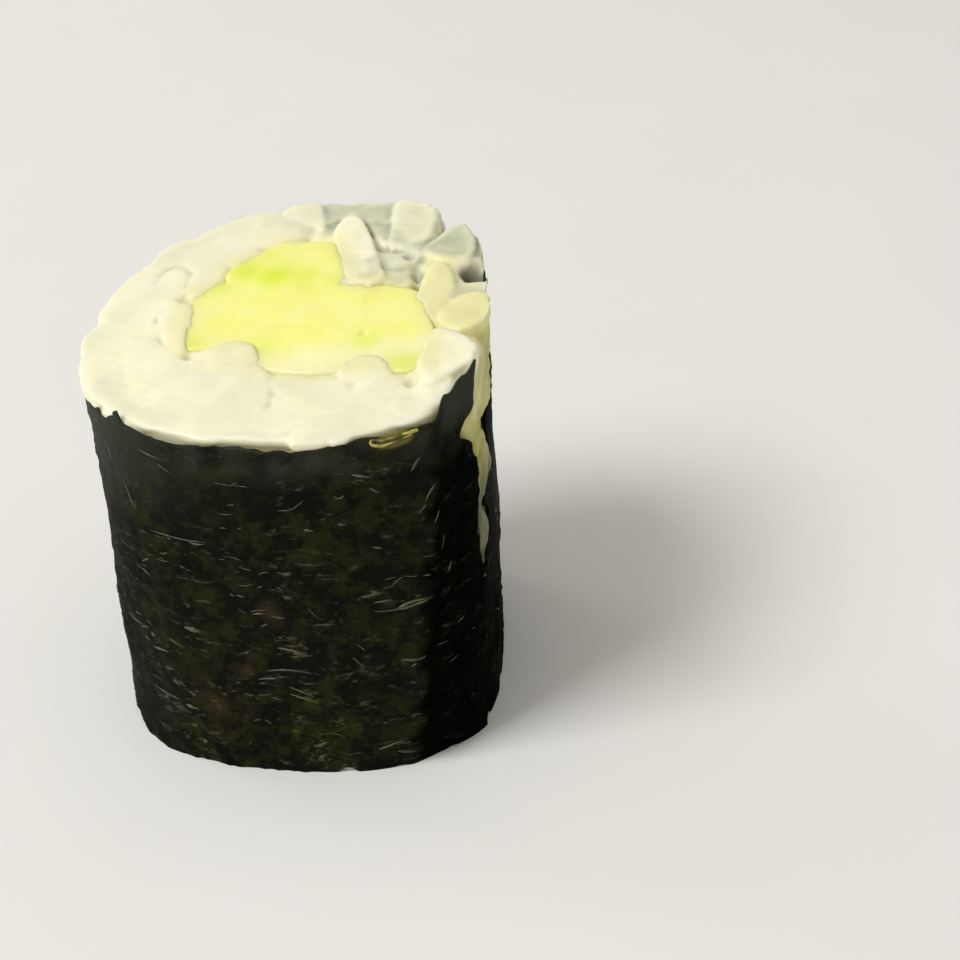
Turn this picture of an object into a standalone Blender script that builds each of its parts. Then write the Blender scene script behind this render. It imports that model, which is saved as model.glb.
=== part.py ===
"""Cucumber maki roll: one cut piece, standing on its lower cut face.

A sheet of nori wraps a body of packed rice, and four cucumber sticks run up through the rice from cut to cut.
The two ends of the sheet cross part way up: below the crossing the outer end laps over the inner one, and
above it a narrow gap opens where the rice shows. Near the top the inner end has torn away, which widens the
gap, while the corner of the outer end stands up past the rice. The knife went through at a slant, so the
piece is taller at its back (+Y) than at its front (-Y), and from the right round the back to the left the rice
has swollen out over the nori's edge.

Metres, +Z up. The origin is the centre of the piece's footprint, on the surface it stands on.
"""

import math

import bmesh
import bpy
from mathutils import Vector, noise

MM = 0.001

# The roll: its round and its height
ROLL_RADIUS = 13.5 * MM  # mean, to the outside of the nori
ROLL_HEIGHT = 27.6 * MM  # to the nori's upper edge, on the roll's axis
CUT_RISE_X = 0.054  # how far the upper cut climbs for each unit to the right
CUT_RISE_Y = 0.151  # and to the back
# The rolling mat presses the round out of true: (corners, share of the radius, direction of one corner in degrees)
PRESSED = ((2, 0.015, 39.0), (3, 0.039, -57.0), (4, 0.036, 39.0))

# The nori sheet
NORI_THICKNESS = 0.3 * MM
NORI_STEPS_ROUND = 76
NORI_STEPS_UP = 22
NORI_EDGE_WAVE = 0.22 * MM  # how unevenly the knife left the sheet's upper edge
# The ends of the sheet: (height in mm, direction in degrees). The outer end has one torn notch near the top, and
# the inner end lacks its upper corner.
OUTER_END = ((0.0, -38.0), (12.0, -35.5), (20.0, -34.0), (23.6, -41.5), (25.2, -33.5), (28.0, -29.0))
INNER_END = ((0.0, -47.0), (10.0, -37.5), (14.0, -29.0), (21.8, -23.0), (25.0, 4.0), (28.0, 10.0))
LAP_LIFT = NORI_THICKNESS + 0.15 * MM  # the outer end stands off this far to pass over the inner one
LAP_START = 34.0  # degrees before the outer end where it begins to lift
LAP_FULL = 14.0  # degrees before the outer end where it is fully lifted
# Where the nori's upper edge lies below the cut, with the rice swollen over it, in degrees of direction
SUNK_RIM = 0.75 * MM
SUNK_BEGINS = (8.0, 20.0)
SUNK_ENDS = (200.0, 224.0)
# Where the corner of the outer end stands up above the cut, in degrees of direction
FLAP_RISE = 1.1 * MM
FLAP_BEGINS = (-54.0, -47.0)
FLAP_ENDS = (-25.0, -15.0)

# Rice and cucumber
CLEARANCE = 0.3 * MM  # between touching pieces
RICE_STEPS_ROUND = 84
RICE_RINGS = 7
RICE_CROWN = 0.45 * MM  # the rice stands this far above the plane of the cut
RICE_EDGE_ROUND = 0.9 * MM  # how far the rice's rim draws in as it crowns
RICE_UNEVEN = 0.3 * MM  # height of the lumps on the upper cut
GRAIN_LENGTH = 5.5 * MM  # the lumps are as wide as a grain is long
STICK_CORNER = 0.55 * MM
STICK_CORNER_STEPS = 3

# The sticks, each a length of cucumber cut into strips: corners seen from above in mm, running anticlockwise,
# and how far its end stands above the plane of the cut.
STICKS = {
    "cucumber_back": (((-5.0, 4.65), (3.5, 3.2), (2.3, 7.8), (-0.9, 8.1), (-3.7, 6.4)), 0.55 * MM),
    "cucumber_left": (((-7.0, -2.4), (4.5, -2.5), (4.6, 2.3), (3.3, 2.8), (-5.3, 4.2), (-6.8, 3.0)), 0.4 * MM),
    "cucumber_right": (((5.0, -3.0), (6.4, -6.7), (8.2, -6.9), (8.9, -2.9), (8.1, 1.2), (5.0, 2.6)), 0.3 * MM),
    "cucumber_front": (((-2.5, -2.95), (-1.9, -5.0), (0.2, -5.8), (1.9, -6.1), (5.6, -5.9), (4.5, -3.0)), 0.2 * MM),
}

COLOURS = {  # base colour, roughness
    "nori": ((0.012, 0.013, 0.006), 0.42),
    "rice": ((0.86, 0.83, 0.62), 0.45),
    "cucumber": ((0.85, 0.86, 0.38), 0.35),
}


def smooth_step(low, high, value):
    """0 below low, 1 above high, and an eased climb between them."""
    share = min(1.0, max(0.0, (value - low) / (high - low)))
    return share * share * (3.0 - 2.0 * share)


def pressed_radius(angle):
    """Distance from the roll's axis to the outside of the nori, in the direction angle."""
    return ROLL_RADIUS * (1.0 + sum(
        share * math.cos(corners * (angle - math.radians(toward))) for corners, share, toward in PRESSED
    ))


def footprint_centre():
    """Centre of the box round the roll's outline, measured from the roll's axis."""
    turn = [math.radians(degree) for degree in range(360)]
    xs = [pressed_radius(angle) * math.cos(angle) for angle in turn]
    ys = [pressed_radius(angle) * math.sin(angle) for angle in turn]
    return Vector(((min(xs) + max(xs)) / 2, (min(ys) + max(ys)) / 2, 0.0))


def cut_height(x, y):
    """Height of the slanting upper cut, above the point x, y measured from the roll's axis."""
    return ROLL_HEIGHT + CUT_RISE_X * x + CUT_RISE_Y * y


def sunk_share(angle):
    """From 0 where the nori reaches the cut to 1 where the rice has swollen over its edge."""
    turn = math.degrees(angle) % 360.0
    return smooth_step(*SUNK_BEGINS, turn) * (1.0 - smooth_step(*SUNK_ENDS, turn))


def flap_share(angle):
    """From 0 where the nori ends at the cut to 1 where its loose corner stands up."""
    turn = (math.degrees(angle) + 180.0) % 360.0 - 180.0
    return smooth_step(*FLAP_BEGINS, turn) * (1.0 - smooth_step(*FLAP_ENDS, turn))


def end_angle(outline, height):
    """Direction in radians of one end of the sheet at a height, eased between the outline's points."""
    height_mm = height / MM
    for (low, before), (high, after) in zip(outline, outline[1:]):
        if height_mm <= high:
            return math.radians(before + (after - before) * smooth_step(low, high, height_mm))
    return math.radians(outline[-1][1])


def new_object(name, mesh, finish):
    """Links a finished mesh as the object called name, standing on the footprint's centre."""
    material = bpy.data.materials.get(finish) or bpy.data.materials.new(finish)
    material.use_nodes = True
    colour, roughness = COLOURS[finish]
    shader = material.node_tree.nodes["Principled BSDF"]
    shader.inputs["Base Color"].default_value = (*colour, 1.0)
    shader.inputs["Roughness"].default_value = roughness
    mesh.materials.append(material)
    mesh.shade_smooth()
    mesh.set_sharp_from_angle(angle=math.radians(40))
    piece = bpy.data.objects.new(name, mesh)
    piece.location = -footprint_centre()
    bpy.context.scene.collection.objects.link(piece)
    return piece


def mesh_of(name, bm):
    """Turns a bmesh into a mesh whose faces point outwards."""
    bmesh.ops.recalc_face_normals(bm, faces=bm.faces)
    mesh = bpy.data.meshes.new(name)
    bm.to_mesh(mesh)
    bm.free()
    return mesh


def bridge(bm, rows, close_round):
    """Quads between each row of vertices and the next. With close_round each row is a ring."""
    for lower, upper in zip(rows, rows[1:]):
        count = len(lower)
        for i in range(count if close_round else count - 1):
            j = (i + 1) % count
            bm.faces.new((lower[i], lower[j], upper[j], upper[i]))


def nori_point(share_round, share_up, inside):
    """A point of the sheet: share_round runs from its inner end to its outer end, share_up from edge to edge."""
    nominal = share_up * ROLL_HEIGHT
    start = end_angle(INNER_END, nominal)
    finish = end_angle(OUTER_END, nominal) + math.tau
    angle = start + (finish - start) * share_round
    before_end = math.degrees(finish - angle)
    lift = LAP_LIFT * (1.0 - smooth_step(LAP_FULL, LAP_START, before_end))
    radius = pressed_radius(angle) + lift - (NORI_THICKNESS if inside else 0.0)
    x, y = radius * math.cos(angle), radius * math.sin(angle)
    wave = NORI_EDGE_WAVE * math.sin(7 * angle + 1.0) * math.cos(3 * angle)
    step = FLAP_RISE * flap_share(angle) - SUNK_RIM * sunk_share(angle)
    return Vector((x, y, share_up * (cut_height(x, y) + wave + step)))


def build_nori():
    """The sheet, as one closed band: its outside, its inside and the four edges between them."""
    bm = bmesh.new()
    rounds = [i / NORI_STEPS_ROUND for i in range(NORI_STEPS_ROUND + 1)]
    skins = []
    for inside in (False, True):
        skins.append([
            [bm.verts.new(nori_point(u, k / NORI_STEPS_UP, inside)) for u in rounds]
            for k in range(NORI_STEPS_UP + 1)
        ])
    outer, inner = skins
    bridge(bm, outer, close_round=False)
    bridge(bm, inner, close_round=False)
    bridge(bm, [outer[0], inner[0]], close_round=False)
    bridge(bm, [outer[-1], inner[-1]], close_round=False)
    for end in (0, -1):
        bridge(bm, [[row[end] for row in outer], [row[end] for row in inner]], close_round=False)
    return new_object("nori", mesh_of("nori", bm), "nori")


def rice_ring(bm, share_in, radius_loss, height_of, swell=0.0):
    """A ring of the rice's surface, at share_in of its radius, with height_of(x, y, share_in) giving each z.

    The ring reaches out by swell where the rice has swollen over the nori's edge.
    """
    ring = []
    for i in range(RICE_STEPS_ROUND):
        angle = math.tau * i / RICE_STEPS_ROUND
        reach = pressed_radius(angle) - NORI_THICKNESS - CLEARANCE + swell * sunk_share(angle) ** 3
        radius = (reach - radius_loss) * share_in
        x, y = radius * math.cos(angle), radius * math.sin(angle)
        ring.append(bm.verts.new((x, y, height_of(x, y, share_in))))
    return ring


def crown_height(x, y, share_in):
    """Height of the rice's upper cut, which crowns above the nori's edge and is lumpy with grains."""
    lump = noise.noise(Vector((x, y, 0.0)) / GRAIN_LENGTH * 2.0)
    return cut_height(x, y) + RICE_CROWN * (1.0 - 0.5 * share_in**4) + RICE_UNEVEN * lump


def build_rice(sticks):
    """The packed rice as one body, with a channel through it that the sticks run up."""
    bm = bmesh.new()
    shares = [1.0 - k / RICE_RINGS for k in range(RICE_RINGS)]
    over_edge = NORI_THICKNESS + CLEARANCE
    floor = [rice_ring(bm, share, 0.0, lambda x, y, share_in: 0.0) for share in shares]
    neck = rice_ring(bm, 1.0, 0.0, lambda x, y, share_in: cut_height(x, y) - 0.4 * SUNK_RIM)
    rim = rice_ring(bm, 1.0, 0.0, lambda x, y, share_in: cut_height(x, y), swell=over_edge)
    crown = [rice_ring(bm, share, RICE_EDGE_ROUND, crown_height, swell=over_edge) for share in shares]
    bridge(bm, floor[::-1] + [neck, rim] + crown, close_round=True)
    for ring in (floor[-1], crown[-1]):
        bm.faces.new(ring)
    rice = new_object("rice", mesh_of("rice", bm), "rice")
    for stick_name in sticks:
        channel = build_channel(stick_name)
        channel.hide_render = True
        channel.display_type = "WIRE"
        cut = rice.modifiers.new(channel.name, "BOOLEAN")
        cut.operation = "DIFFERENCE"
        cut.object = channel
    return rice


def rounded_corners(corners):
    """The stick's outline in metres, each corner replaced by an arc of STICK_CORNER."""
    points = [Vector(corner) * MM for corner in corners]
    outline = []
    for i, corner in enumerate(points):
        toward_last = (points[i - 1] - corner).normalized()
        toward_next = (points[(i + 1) % len(points)] - corner).normalized()
        half = toward_last.angle(toward_next) / 2
        middle = corner + (toward_last + toward_next).normalized() * (STICK_CORNER / math.sin(half))
        begin = corner + toward_last * (STICK_CORNER / math.tan(half)) - middle
        sweep = math.pi - 2 * half
        for k in range(STICK_CORNER_STEPS + 1):
            turn = sweep * k / STICK_CORNER_STEPS
            arm = Vector((
                begin.x * math.cos(turn) - begin.y * math.sin(turn),
                begin.x * math.sin(turn) + begin.y * math.cos(turn),
            ))
            outline.append(middle + arm)
    return outline


def grown(outline, by):
    """The outline with every side moved outwards by the same distance."""
    moved = []
    for i, point in enumerate(outline):
        before = (point - outline[i - 1]).normalized()
        after = (outline[(i + 1) % len(outline)] - point).normalized()
        outward = Vector((before.y + after.y, -before.x - after.x)).normalized()
        moved.append(point + outward * (by / outward.dot(Vector((after.y, -after.x)))))
    return moved


def extruded(name, outline, low, above_cut):
    """A closed solid from the height low to above_cut over the upper cut, along the outline."""
    bm = bmesh.new()
    lower = [bm.verts.new((p.x, p.y, low)) for p in outline]
    upper = [bm.verts.new((p.x, p.y, cut_height(p.x, p.y) + above_cut)) for p in outline]
    bridge(bm, [lower, upper], close_round=True)
    bm.faces.new(lower)
    bm.faces.new(upper)
    return new_object(name, mesh_of(name, bm), "cucumber")


def build_stick(name):
    """One cucumber stick."""
    corners, stands_up = STICKS[name]
    return extruded(name, rounded_corners(corners), 0.0, stands_up)


def build_channel(name):
    """The cutter for a stick's channel in the rice. Its corners are sharp, so no rice is left where sticks meet."""
    corners, _ = STICKS[name]
    outline = grown([Vector(corner) * MM for corner in corners], CLEARANCE)
    past_cut = ROLL_HEIGHT * 0.2
    return extruded(name + "_channel", outline, -past_cut, past_cut)


def main():
    """Clears the scene and builds the piece from the outside in."""
    for leftover in list(bpy.data.objects):
        bpy.data.objects.remove(leftover)
    build_nori()
    build_rice(STICKS)
    for stick_name in STICKS:
        build_stick(stick_name)


main()
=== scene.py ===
"""Looks of one cut cucumber maki roll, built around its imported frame.

The nori, the rice and the cucumber are each made here as fine meshes that stand for the frame's solids. Every
shape is worked out from the roll's own axis, in metres, and is moved onto the footprint's centre, which is
the frame's origin, as it becomes a piece. Sizes in the tables of grains, creases and torn ends are in
millimetres, and directions are in degrees, anticlockwise from +X.
"""

import logging
import math
from dataclasses import dataclass, field
from enum import Enum
from typing import Any, Callable

import bpy
import numpy as np
from mathutils import Matrix, Vector, kdtree, noise


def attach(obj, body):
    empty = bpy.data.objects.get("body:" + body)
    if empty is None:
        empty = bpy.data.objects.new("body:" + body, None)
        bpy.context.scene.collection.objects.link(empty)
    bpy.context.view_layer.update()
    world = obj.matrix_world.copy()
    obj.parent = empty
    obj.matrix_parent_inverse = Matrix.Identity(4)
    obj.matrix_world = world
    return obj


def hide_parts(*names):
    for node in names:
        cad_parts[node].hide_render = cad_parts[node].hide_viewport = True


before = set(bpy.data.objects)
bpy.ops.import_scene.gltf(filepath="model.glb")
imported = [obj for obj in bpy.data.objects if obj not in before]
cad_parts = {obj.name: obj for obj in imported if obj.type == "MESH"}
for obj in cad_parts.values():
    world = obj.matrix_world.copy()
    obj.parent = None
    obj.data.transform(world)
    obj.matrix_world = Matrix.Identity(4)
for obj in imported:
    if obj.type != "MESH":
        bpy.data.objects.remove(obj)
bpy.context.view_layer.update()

LOG = logging.getLogger("maki")
MM = 0.001
ROOT = "root"
EASED = {"interpolation_type": "SMOOTHSTEP"}  # how a Map Range node climbs softly from 0 to 1
Array = np.ndarray
Colour = tuple[float, float, float, float]


class Cut(Enum):
    """The two faces that the knife left."""

    UPPER = "upper"
    LOWER = "lower"


# ---------------------------------------------------------------- shared maths


def smooth_step(low: float, high: float, value: Any) -> Any:
    """Eases from 0 at low to 1 at high.

    Args:
        low: Where the climb begins.
        high: Where it ends; it may be less than low, for a fall.
        value: A number or an array.

    Returns:
        A number or an array between 0 and 1.
    """
    share = np.clip((value - low) / (high - low), 0.0, 1.0)
    return share * share * (3.0 - 2.0 * share)


def bell(value: Any, width: float) -> Any:
    """A smooth hump of height 1 about zero, width wide at a little over half its height."""
    return np.exp(-(value / width) ** 2)


def capped(value: Any, limit: Any, softness: float) -> Any:
    """The value, bent over so that it never passes the limit."""
    return limit - softness * np.logaddexp(0.0, (limit - value) / softness)


def waves(points: Array, wavelength: Any, seed: int) -> Array:
    """Soft noise at each point.

    Args:
        points: Positions in metres, one row each.
        wavelength: Distance from hump to hump, or one for each axis.
        seed: Which of many unlike fields to read.

    Returns:
        Values from about -1 to 1, centred on 0.
    """
    shift = Vector((17.3, -9.1, 5.7)) * seed
    scaled = points / np.asarray(wavelength)
    return np.array([noise.noise(Vector(point) + shift) for point in scaled.tolist()])


def rumpled(points: Array, layers: tuple) -> Array:
    """Soft noise in layers, each given as its height, its wavelength and its seed."""
    return sum(height * waves(points, wavelength, seed) for height, wavelength, seed in layers)


def ridges(points: Array, wavelength: Any, seed: int, sharpness: float) -> Array:
    """Noise folded into thin crests, from 0 between them to 1 along them."""
    return np.clip(1.0 - np.abs(waves(points, wavelength, seed)) * 2.2, 0.0, 1.0) ** sharpness


def turn_of(angle: Any) -> Any:
    """An angle in radians as a direction from -180 to 180 degrees."""
    return (np.degrees(angle) + 180.0) % 360.0 - 180.0


def about(angle: Any, toward: float, width: float) -> Any:
    """A hump of height 1 about a direction, for angles in radians, width degrees to each side."""
    return bell(turn_of(angle - math.radians(toward)), width)


def round_axis(radius: Any, angle: Array, height: Any) -> Array:
    """Points at distances and directions from the roll's axis and at heights, one row each."""
    return np.stack([radius * np.cos(angle), radius * np.sin(angle), height + 0 * angle], axis=1)


def level_points(x: Array, y: Array) -> Array:
    """Points of the floor under x and y, one row each."""
    return np.column_stack([x, y, 0 * x])


def unit(arrows: Array) -> Array:
    """The arrows, one row each, cut or drawn out to length 1."""
    return arrows / (np.linalg.norm(arrows, axis=1, keepdims=True) + 1e-12)


def merged(bodies: list[tuple[Array, Any]]) -> tuple[Array, list[list[int]]]:
    """Joins bodies, each given as its points and its faces, into the points and faces of one mesh."""
    starts = np.cumsum([0] + [len(points) for points, _ in bodies]).tolist()
    faces = [[int(v) + start for v in face] for (_, own), start in zip(bodies, starts) for face in own]
    return np.concatenate([points for points, _ in bodies]), faces


def tube_faces(rings: int, sides: int, closed: bool = False) -> list[list[int]]:
    """Quads of a tube that is numbered ring by ring; a closed one ends where it starts."""
    number = np.arange(rings * sides).reshape(rings, sides)
    if closed:
        number = np.concatenate([number, number[:1]])
    after = np.roll(number, -1, axis=1)
    return np.stack([number[:-1], after[:-1], after[1:], number[1:]], axis=-1).reshape(-1, 4).tolist()


def linear(code: str) -> Colour:
    """Linear colour of an sRGB hex code such as #f3efd2."""
    shares = [int(code[i:i + 2], 16) / 255 for i in (1, 3, 5)]
    red, green, blue = (s / 12.92 if s <= 0.04045 else ((s + 0.055) / 1.055) ** 2.4 for s in shares)
    return red, green, blue, 1.0


# ---------------------------------------------------------------- the roll's own shape


@dataclass(frozen=True)
class RollShape:
    """The round, the height and the slant of the roll, about its own axis.

    Attributes:
        radius: Mean distance from the axis to the outside of the nori.
        height: Height of the plane of the upper cut, on the axis.
        rise_x: How far the upper cut climbs for each unit to the right.
        rise_y: And to the back.
        pressed: How the mat pressed it out of true: corners, share of the radius, direction of a corner.
        sunk: How far the nori's edge lies below the cut where the rice has swollen over it.
        flap: How far the loose corner of the nori's outer end stands up above the cut.
    """

    radius: float = 13.5 * MM
    height: float = 27.6 * MM
    rise_x: float = 0.054
    rise_y: float = 0.151
    pressed: tuple = ((2, 0.015, 39.0), (3, 0.039, -57.0), (4, 0.036, 39.0))
    sunk: float = 0.75 * MM
    flap: float = 1.15 * MM

    def outside(self, angle: Any) -> Any:
        """Distance from the axis to the smooth outside of the nori in a direction."""
        return self.radius * (1.0 + sum(
            share * np.cos(corners * (angle - math.radians(toward)))
            for corners, share, toward in self.pressed
        ))

    def centre(self) -> Array:
        """Centre of the footprint, from the axis."""
        turn = np.radians(np.arange(360.0))
        xs, ys = self.outside(turn) * np.cos(turn), self.outside(turn) * np.sin(turn)
        return np.array([xs.min() + xs.max(), ys.min() + ys.max(), 0.0]) / 2

    def cut_height(self, x: Any, y: Any) -> Any:
        """Height of the slanting upper cut over a point."""
        return self.height + self.rise_x * x + self.rise_y * y

    def above_cut(self, points: Array) -> Array:
        """How far each point lies above the plane of the upper cut."""
        return points[:, 2] - self.cut_height(points[:, 0], points[:, 1])

    def sunk_share(self, angle: Any) -> Any:
        """From 0 where the nori reaches the cut to 1 where the rice has swollen over its edge."""
        turn = np.degrees(angle) % 360.0
        return smooth_step(8.0, 20.0, turn) * smooth_step(226.0, 200.0, turn)

    def flap_share(self, angle: Any) -> Any:
        """From 0 where the nori ends at the cut to 1 where its loose corner stands up."""
        turn = turn_of(angle)
        return smooth_step(-53.0, -48.5, turn) * smooth_step(-15.0, -25.0, turn)


@dataclass(frozen=True)
class StickOutlines:
    """The sticks' outlines seen from above, read from the frame.

    Attributes:
        corners: For each stick its corners, anticlockwise from the axis.
    """

    corners: dict[str, Array]

    @classmethod
    def from_frame(cls, shape: RollShape) -> "StickOutlines":
        """Reads the lower end of each cucumber node."""
        found = {}
        for name in sorted(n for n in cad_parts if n.startswith("cucumber_")):
            points = np.array([v.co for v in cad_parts[name].data.vertices]) + shape.centre()
            foot = np.unique(np.round(points[points[:, 2] < MM][:, :2], 6), axis=0)
            arms = foot - foot.mean(axis=0)
            found[name] = foot[np.argsort(np.arctan2(arms[:, 1], arms[:, 0]))]
        return cls(found)

    def depth(self, points: Array) -> Array:
        """How far each point lies inside the nearest stick, or outside it where negative."""
        deepest = np.full(len(points), -1.0)
        for ring in self.corners.values():
            along = np.roll(ring, -1, axis=0) - ring
            inward = unit(np.column_stack([-along[:, 1], along[:, 0]]))
            inside = np.einsum("pek,ek->pe", points[:, None, :2] - ring[None], inward).min(axis=1)
            deepest = np.maximum(deepest, inside)
        return deepest


# ---------------------------------------------------------------- making pieces


def new_piece(name: str, vertices: Array, faces: Any, shape: RollShape) -> bpy.types.Object:
    """Makes an object from points about the roll's axis.

    Args:
        name: The piece's name.
        vertices: Points in metres, one row each.
        faces: Vertex numbers of each face.
        shape: The roll, whose footprint's centre is the frame's origin.

    Returns:
        The object, smooth shaded, at the frame's origin.
    """
    mesh = bpy.data.meshes.new(name)
    mesh.from_pydata((vertices - shape.centre()).tolist(), [], [list(map(int, face)) for face in faces])
    mesh.shade_smooth()
    piece = bpy.data.objects.new(name, mesh)
    bpy.context.scene.collection.objects.link(piece)
    return piece


def points_of(piece: bpy.types.Object, shape: RollShape) -> Array:
    """The piece's vertices about the roll's axis."""
    flat = np.empty(len(piece.data.vertices) * 3, np.float32)
    piece.data.vertices.foreach_get("co", flat)
    return flat.reshape(-1, 3).astype(float) + shape.centre()


def move_points(piece: bpy.types.Object, points: Array, shape: RollShape) -> None:
    """Puts the piece's vertices at points about the roll's axis."""
    piece.data.vertices.foreach_set("co", (points - shape.centre()).astype(np.float32).ravel())
    piece.data.update()


def weld(piece: bpy.types.Object, voxel: float, smoothing: int = 2) -> None:
    """Turns overlapping bodies into one skin with soft hollows where they meet.

    Args:
        piece: The object, whose mesh is replaced.
        voxel: Size of the skin's faces.
        smoothing: How many times it is relaxed.
    """
    remesh = piece.modifiers.new("weld", "REMESH")
    remesh.mode = "VOXEL"
    remesh.voxel_size = voxel
    relax = piece.modifiers.new("relax", "SMOOTH")
    relax.factor = 0.5
    relax.iterations = smoothing
    graph = bpy.context.evaluated_depsgraph_get()
    mesh = bpy.data.meshes.new_from_object(piece.evaluated_get(graph))
    piece.modifiers.clear()
    piece.data = mesh
    mesh.shade_smooth()


def paint(piece: bpy.types.Object, name: str, values: Array) -> None:
    """Stores one number for each vertex, for the material to read by name."""
    layer = piece.data.attributes.new(name, "FLOAT", "POINT")
    layer.data.foreach_set("value", np.asarray(values, np.float32))


def relaxed(piece: bpy.types.Object, values: Array, rounds: int) -> Array:
    """Averages each vertex's value with its neighbours' a number of times."""
    ends = np.empty(len(piece.data.edges) * 2, np.int32)
    piece.data.edges.foreach_get("vertices", ends)
    first, second = ends.reshape(-1, 2).T
    count = np.bincount(ends, minlength=len(values)) + 1.0
    for _ in range(rounds):
        around = np.bincount(first, values[second], len(values))
        around = around + np.bincount(second, values[first], len(values))
        values = (values + around) / count
    return values


def hand_in(piece: bpy.types.Object, finish: bpy.types.Material, slot: str, *nodes: str) -> None:
    """Dresses a piece and fastens it to the frame.

    Args:
        piece: The finished object.
        finish: Its material.
        slot: Name of the record's material slot for it; not used.
        nodes: The frame's nodes that it stands for.
    """
    piece.data.materials.clear()
    piece.data.materials.append(finish)
    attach(piece, ROOT)
    if nodes:
        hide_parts(*nodes)
    LOG.info("%s: %d vertices, %d faces", piece.name, len(piece.data.vertices), len(piece.data.polygons))


@dataclass(frozen=True)
class CutBlock:
    """A block with a rounded outline and a knife-cut top: a grain of rice or a stick of cucumber.

    Attributes:
        corners: Its outline seen from above, anticlockwise, in metres.
        top: Height of its top over points, given as x and y arrays.
        low: Height of its flat foot.
        edge: Radius of the rounding between its top and its sides.
        around: Points round it.
        rounding: How many times its corners are cut back.
    """

    corners: Array
    top: Callable[[Array, Array], Array]
    low: Callable[[Array, Array], Array]
    edge: float
    around: int = 72
    rounding: int = 1

    # Where rings of points lie: shares of the way out over the top, then down the sides
    TOP_RINGS = (0.18, 0.34, 0.48, 0.6, 0.7, 0.78, 0.85, 0.9, 0.94, 0.97, 0.99, 1.0)
    SIDE_RINGS = (0.03, 0.08, 0.16, 0.28, 0.42, 0.6, 0.8, 0.93, 1.0)

    def outline(self) -> Array:
        """The rounded outline as evenly spaced points."""
        ring = np.asarray(self.corners, float)
        for _ in range(self.rounding):
            following = np.roll(ring, -1, axis=0)
            halves = [0.75 * ring + 0.25 * following, 0.25 * ring + 0.75 * following]
            ring = np.stack(halves, axis=1).reshape(-1, 2)
        closed = np.concatenate([ring, ring[:1]])
        run = np.concatenate([[0.0], np.cumsum(np.linalg.norm(np.diff(closed, axis=0), axis=1))])
        steps = np.linspace(0.0, run[-1], self.around, endpoint=False)
        return np.stack([np.interp(steps, run, closed[:, i]) for i in (0, 1)], axis=1)

    def build(self) -> tuple[Array, list[list[int]]]:
        """Works out its points and faces, the middle of its top first and that of its foot last."""
        ring = self.outline()
        middle = ring.mean(axis=0)
        arms = ring - middle
        reach = np.linalg.norm(arms, axis=1)
        rows = []
        for share in self.TOP_RINGS:
            spots = middle + arms * share
            inset = np.clip(1.0 - (1.0 - share) * reach / self.edge, 0.0, 1.0)
            drop = self.edge * (1.0 - np.sqrt(1.0 - inset**2 * 0.98))
            rows.append(np.column_stack([spots, self.top(*spots.T) - drop]))
        high = rows[-1][:, 2]
        for share in self.SIDE_RINGS:
            drawn_in = 0.2 * self.edge / reach.mean() if share == 1.0 else 0.0
            spots = middle + arms * (1.0 - drawn_in)
            rows.append(np.column_stack([spots, high + (self.low(*spots.T) - high) * share]))
        foot = middle + arms * 0.5
        rows.append(np.column_stack([foot, self.low(*foot.T)]))
        peak = [*middle, float(self.top(*middle[:, None])[0])]
        sole = [*middle, float(self.low(*middle[:, None])[0])]
        points = np.concatenate([[peak], *rows, [sole]])
        last = len(points) - 1
        faces = [[v + 1 for v in reversed(quad)] for quad in tube_faces(len(rows), self.around)]
        round_top = [*range(1, self.around + 1), 1]
        faces += [[0, a, b] for a, b in zip(round_top, round_top[1:])]
        round_foot = [last - self.around + v - 1 for v in round_top]
        faces += [[last, b, a] for a, b in zip(round_foot, round_foot[1:])]
        return points, faces


# ---------------------------------------------------------------- materials


def add_node(
    tree: bpy.types.NodeTree, kind: str, inputs: dict[Any, Any] | None = None, **settings: Any,
) -> Any:
    """Adds a shader node with its settings and links.

    Args:
        tree: The material's node tree.
        kind: The node's type name, without the leading ShaderNode.
        inputs: For each input, by name or number, a value or the output socket that feeds it.
        **settings: The node's own properties.

    Returns:
        The node.
    """
    node = tree.nodes.new("ShaderNode" + kind)
    for name, value in settings.items():
        setattr(node, name, value)
    for name, value in (inputs or {}).items():
        if isinstance(value, bpy.types.NodeSocket):
            tree.links.new(value, node.inputs[name])
        else:
            node.inputs[name].default_value = value
    return node


def mottled(
    tree: bpy.types.NodeTree, where: Any, size: float, low: float, high: float, **grain: float,
) -> Any:
    """Lays soft patches over a material.

    Args:
        tree: The material's node tree.
        where: Socket with the coordinates that the patches lie in.
        size: From one patch to the next, in metres.
        low: Noise up to this much is outside the patches.
        high: Noise from this much on is inside them.
        **grain: The noise's other inputs.

    Returns:
        Output socket that eases from 0 outside the patches to 1 inside them.
    """
    tone = add_node(tree, "TexNoise", {"Vector": where, "Scale": 1.0 / size, **grain}).outputs["Fac"]
    spread = {"Value": tone, "From Min": low, "From Max": high}
    return add_node(tree, "MapRange", spread, **EASED).outputs["Result"]


def layered(tree: bpy.types.NodeTree, ground: str, *layers: tuple[Any, str]) -> Any:
    """Lays colours over each other.

    Args:
        tree: The material's node tree.
        ground: Hex code of the colour underneath.
        *layers: From the lowest up, the socket that says where each shows and its hex code.

    Returns:
        Output socket of the colour on top.
    """
    colour = linear(ground)
    for share, code in layers:
        # The mix's colours are its sockets 6 and 7, and its own is 2
        colour = add_node(tree, "Mix", {0: share, 6: colour, 7: linear(code)}, data_type="RGBA").outputs[2]
    return colour


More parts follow.
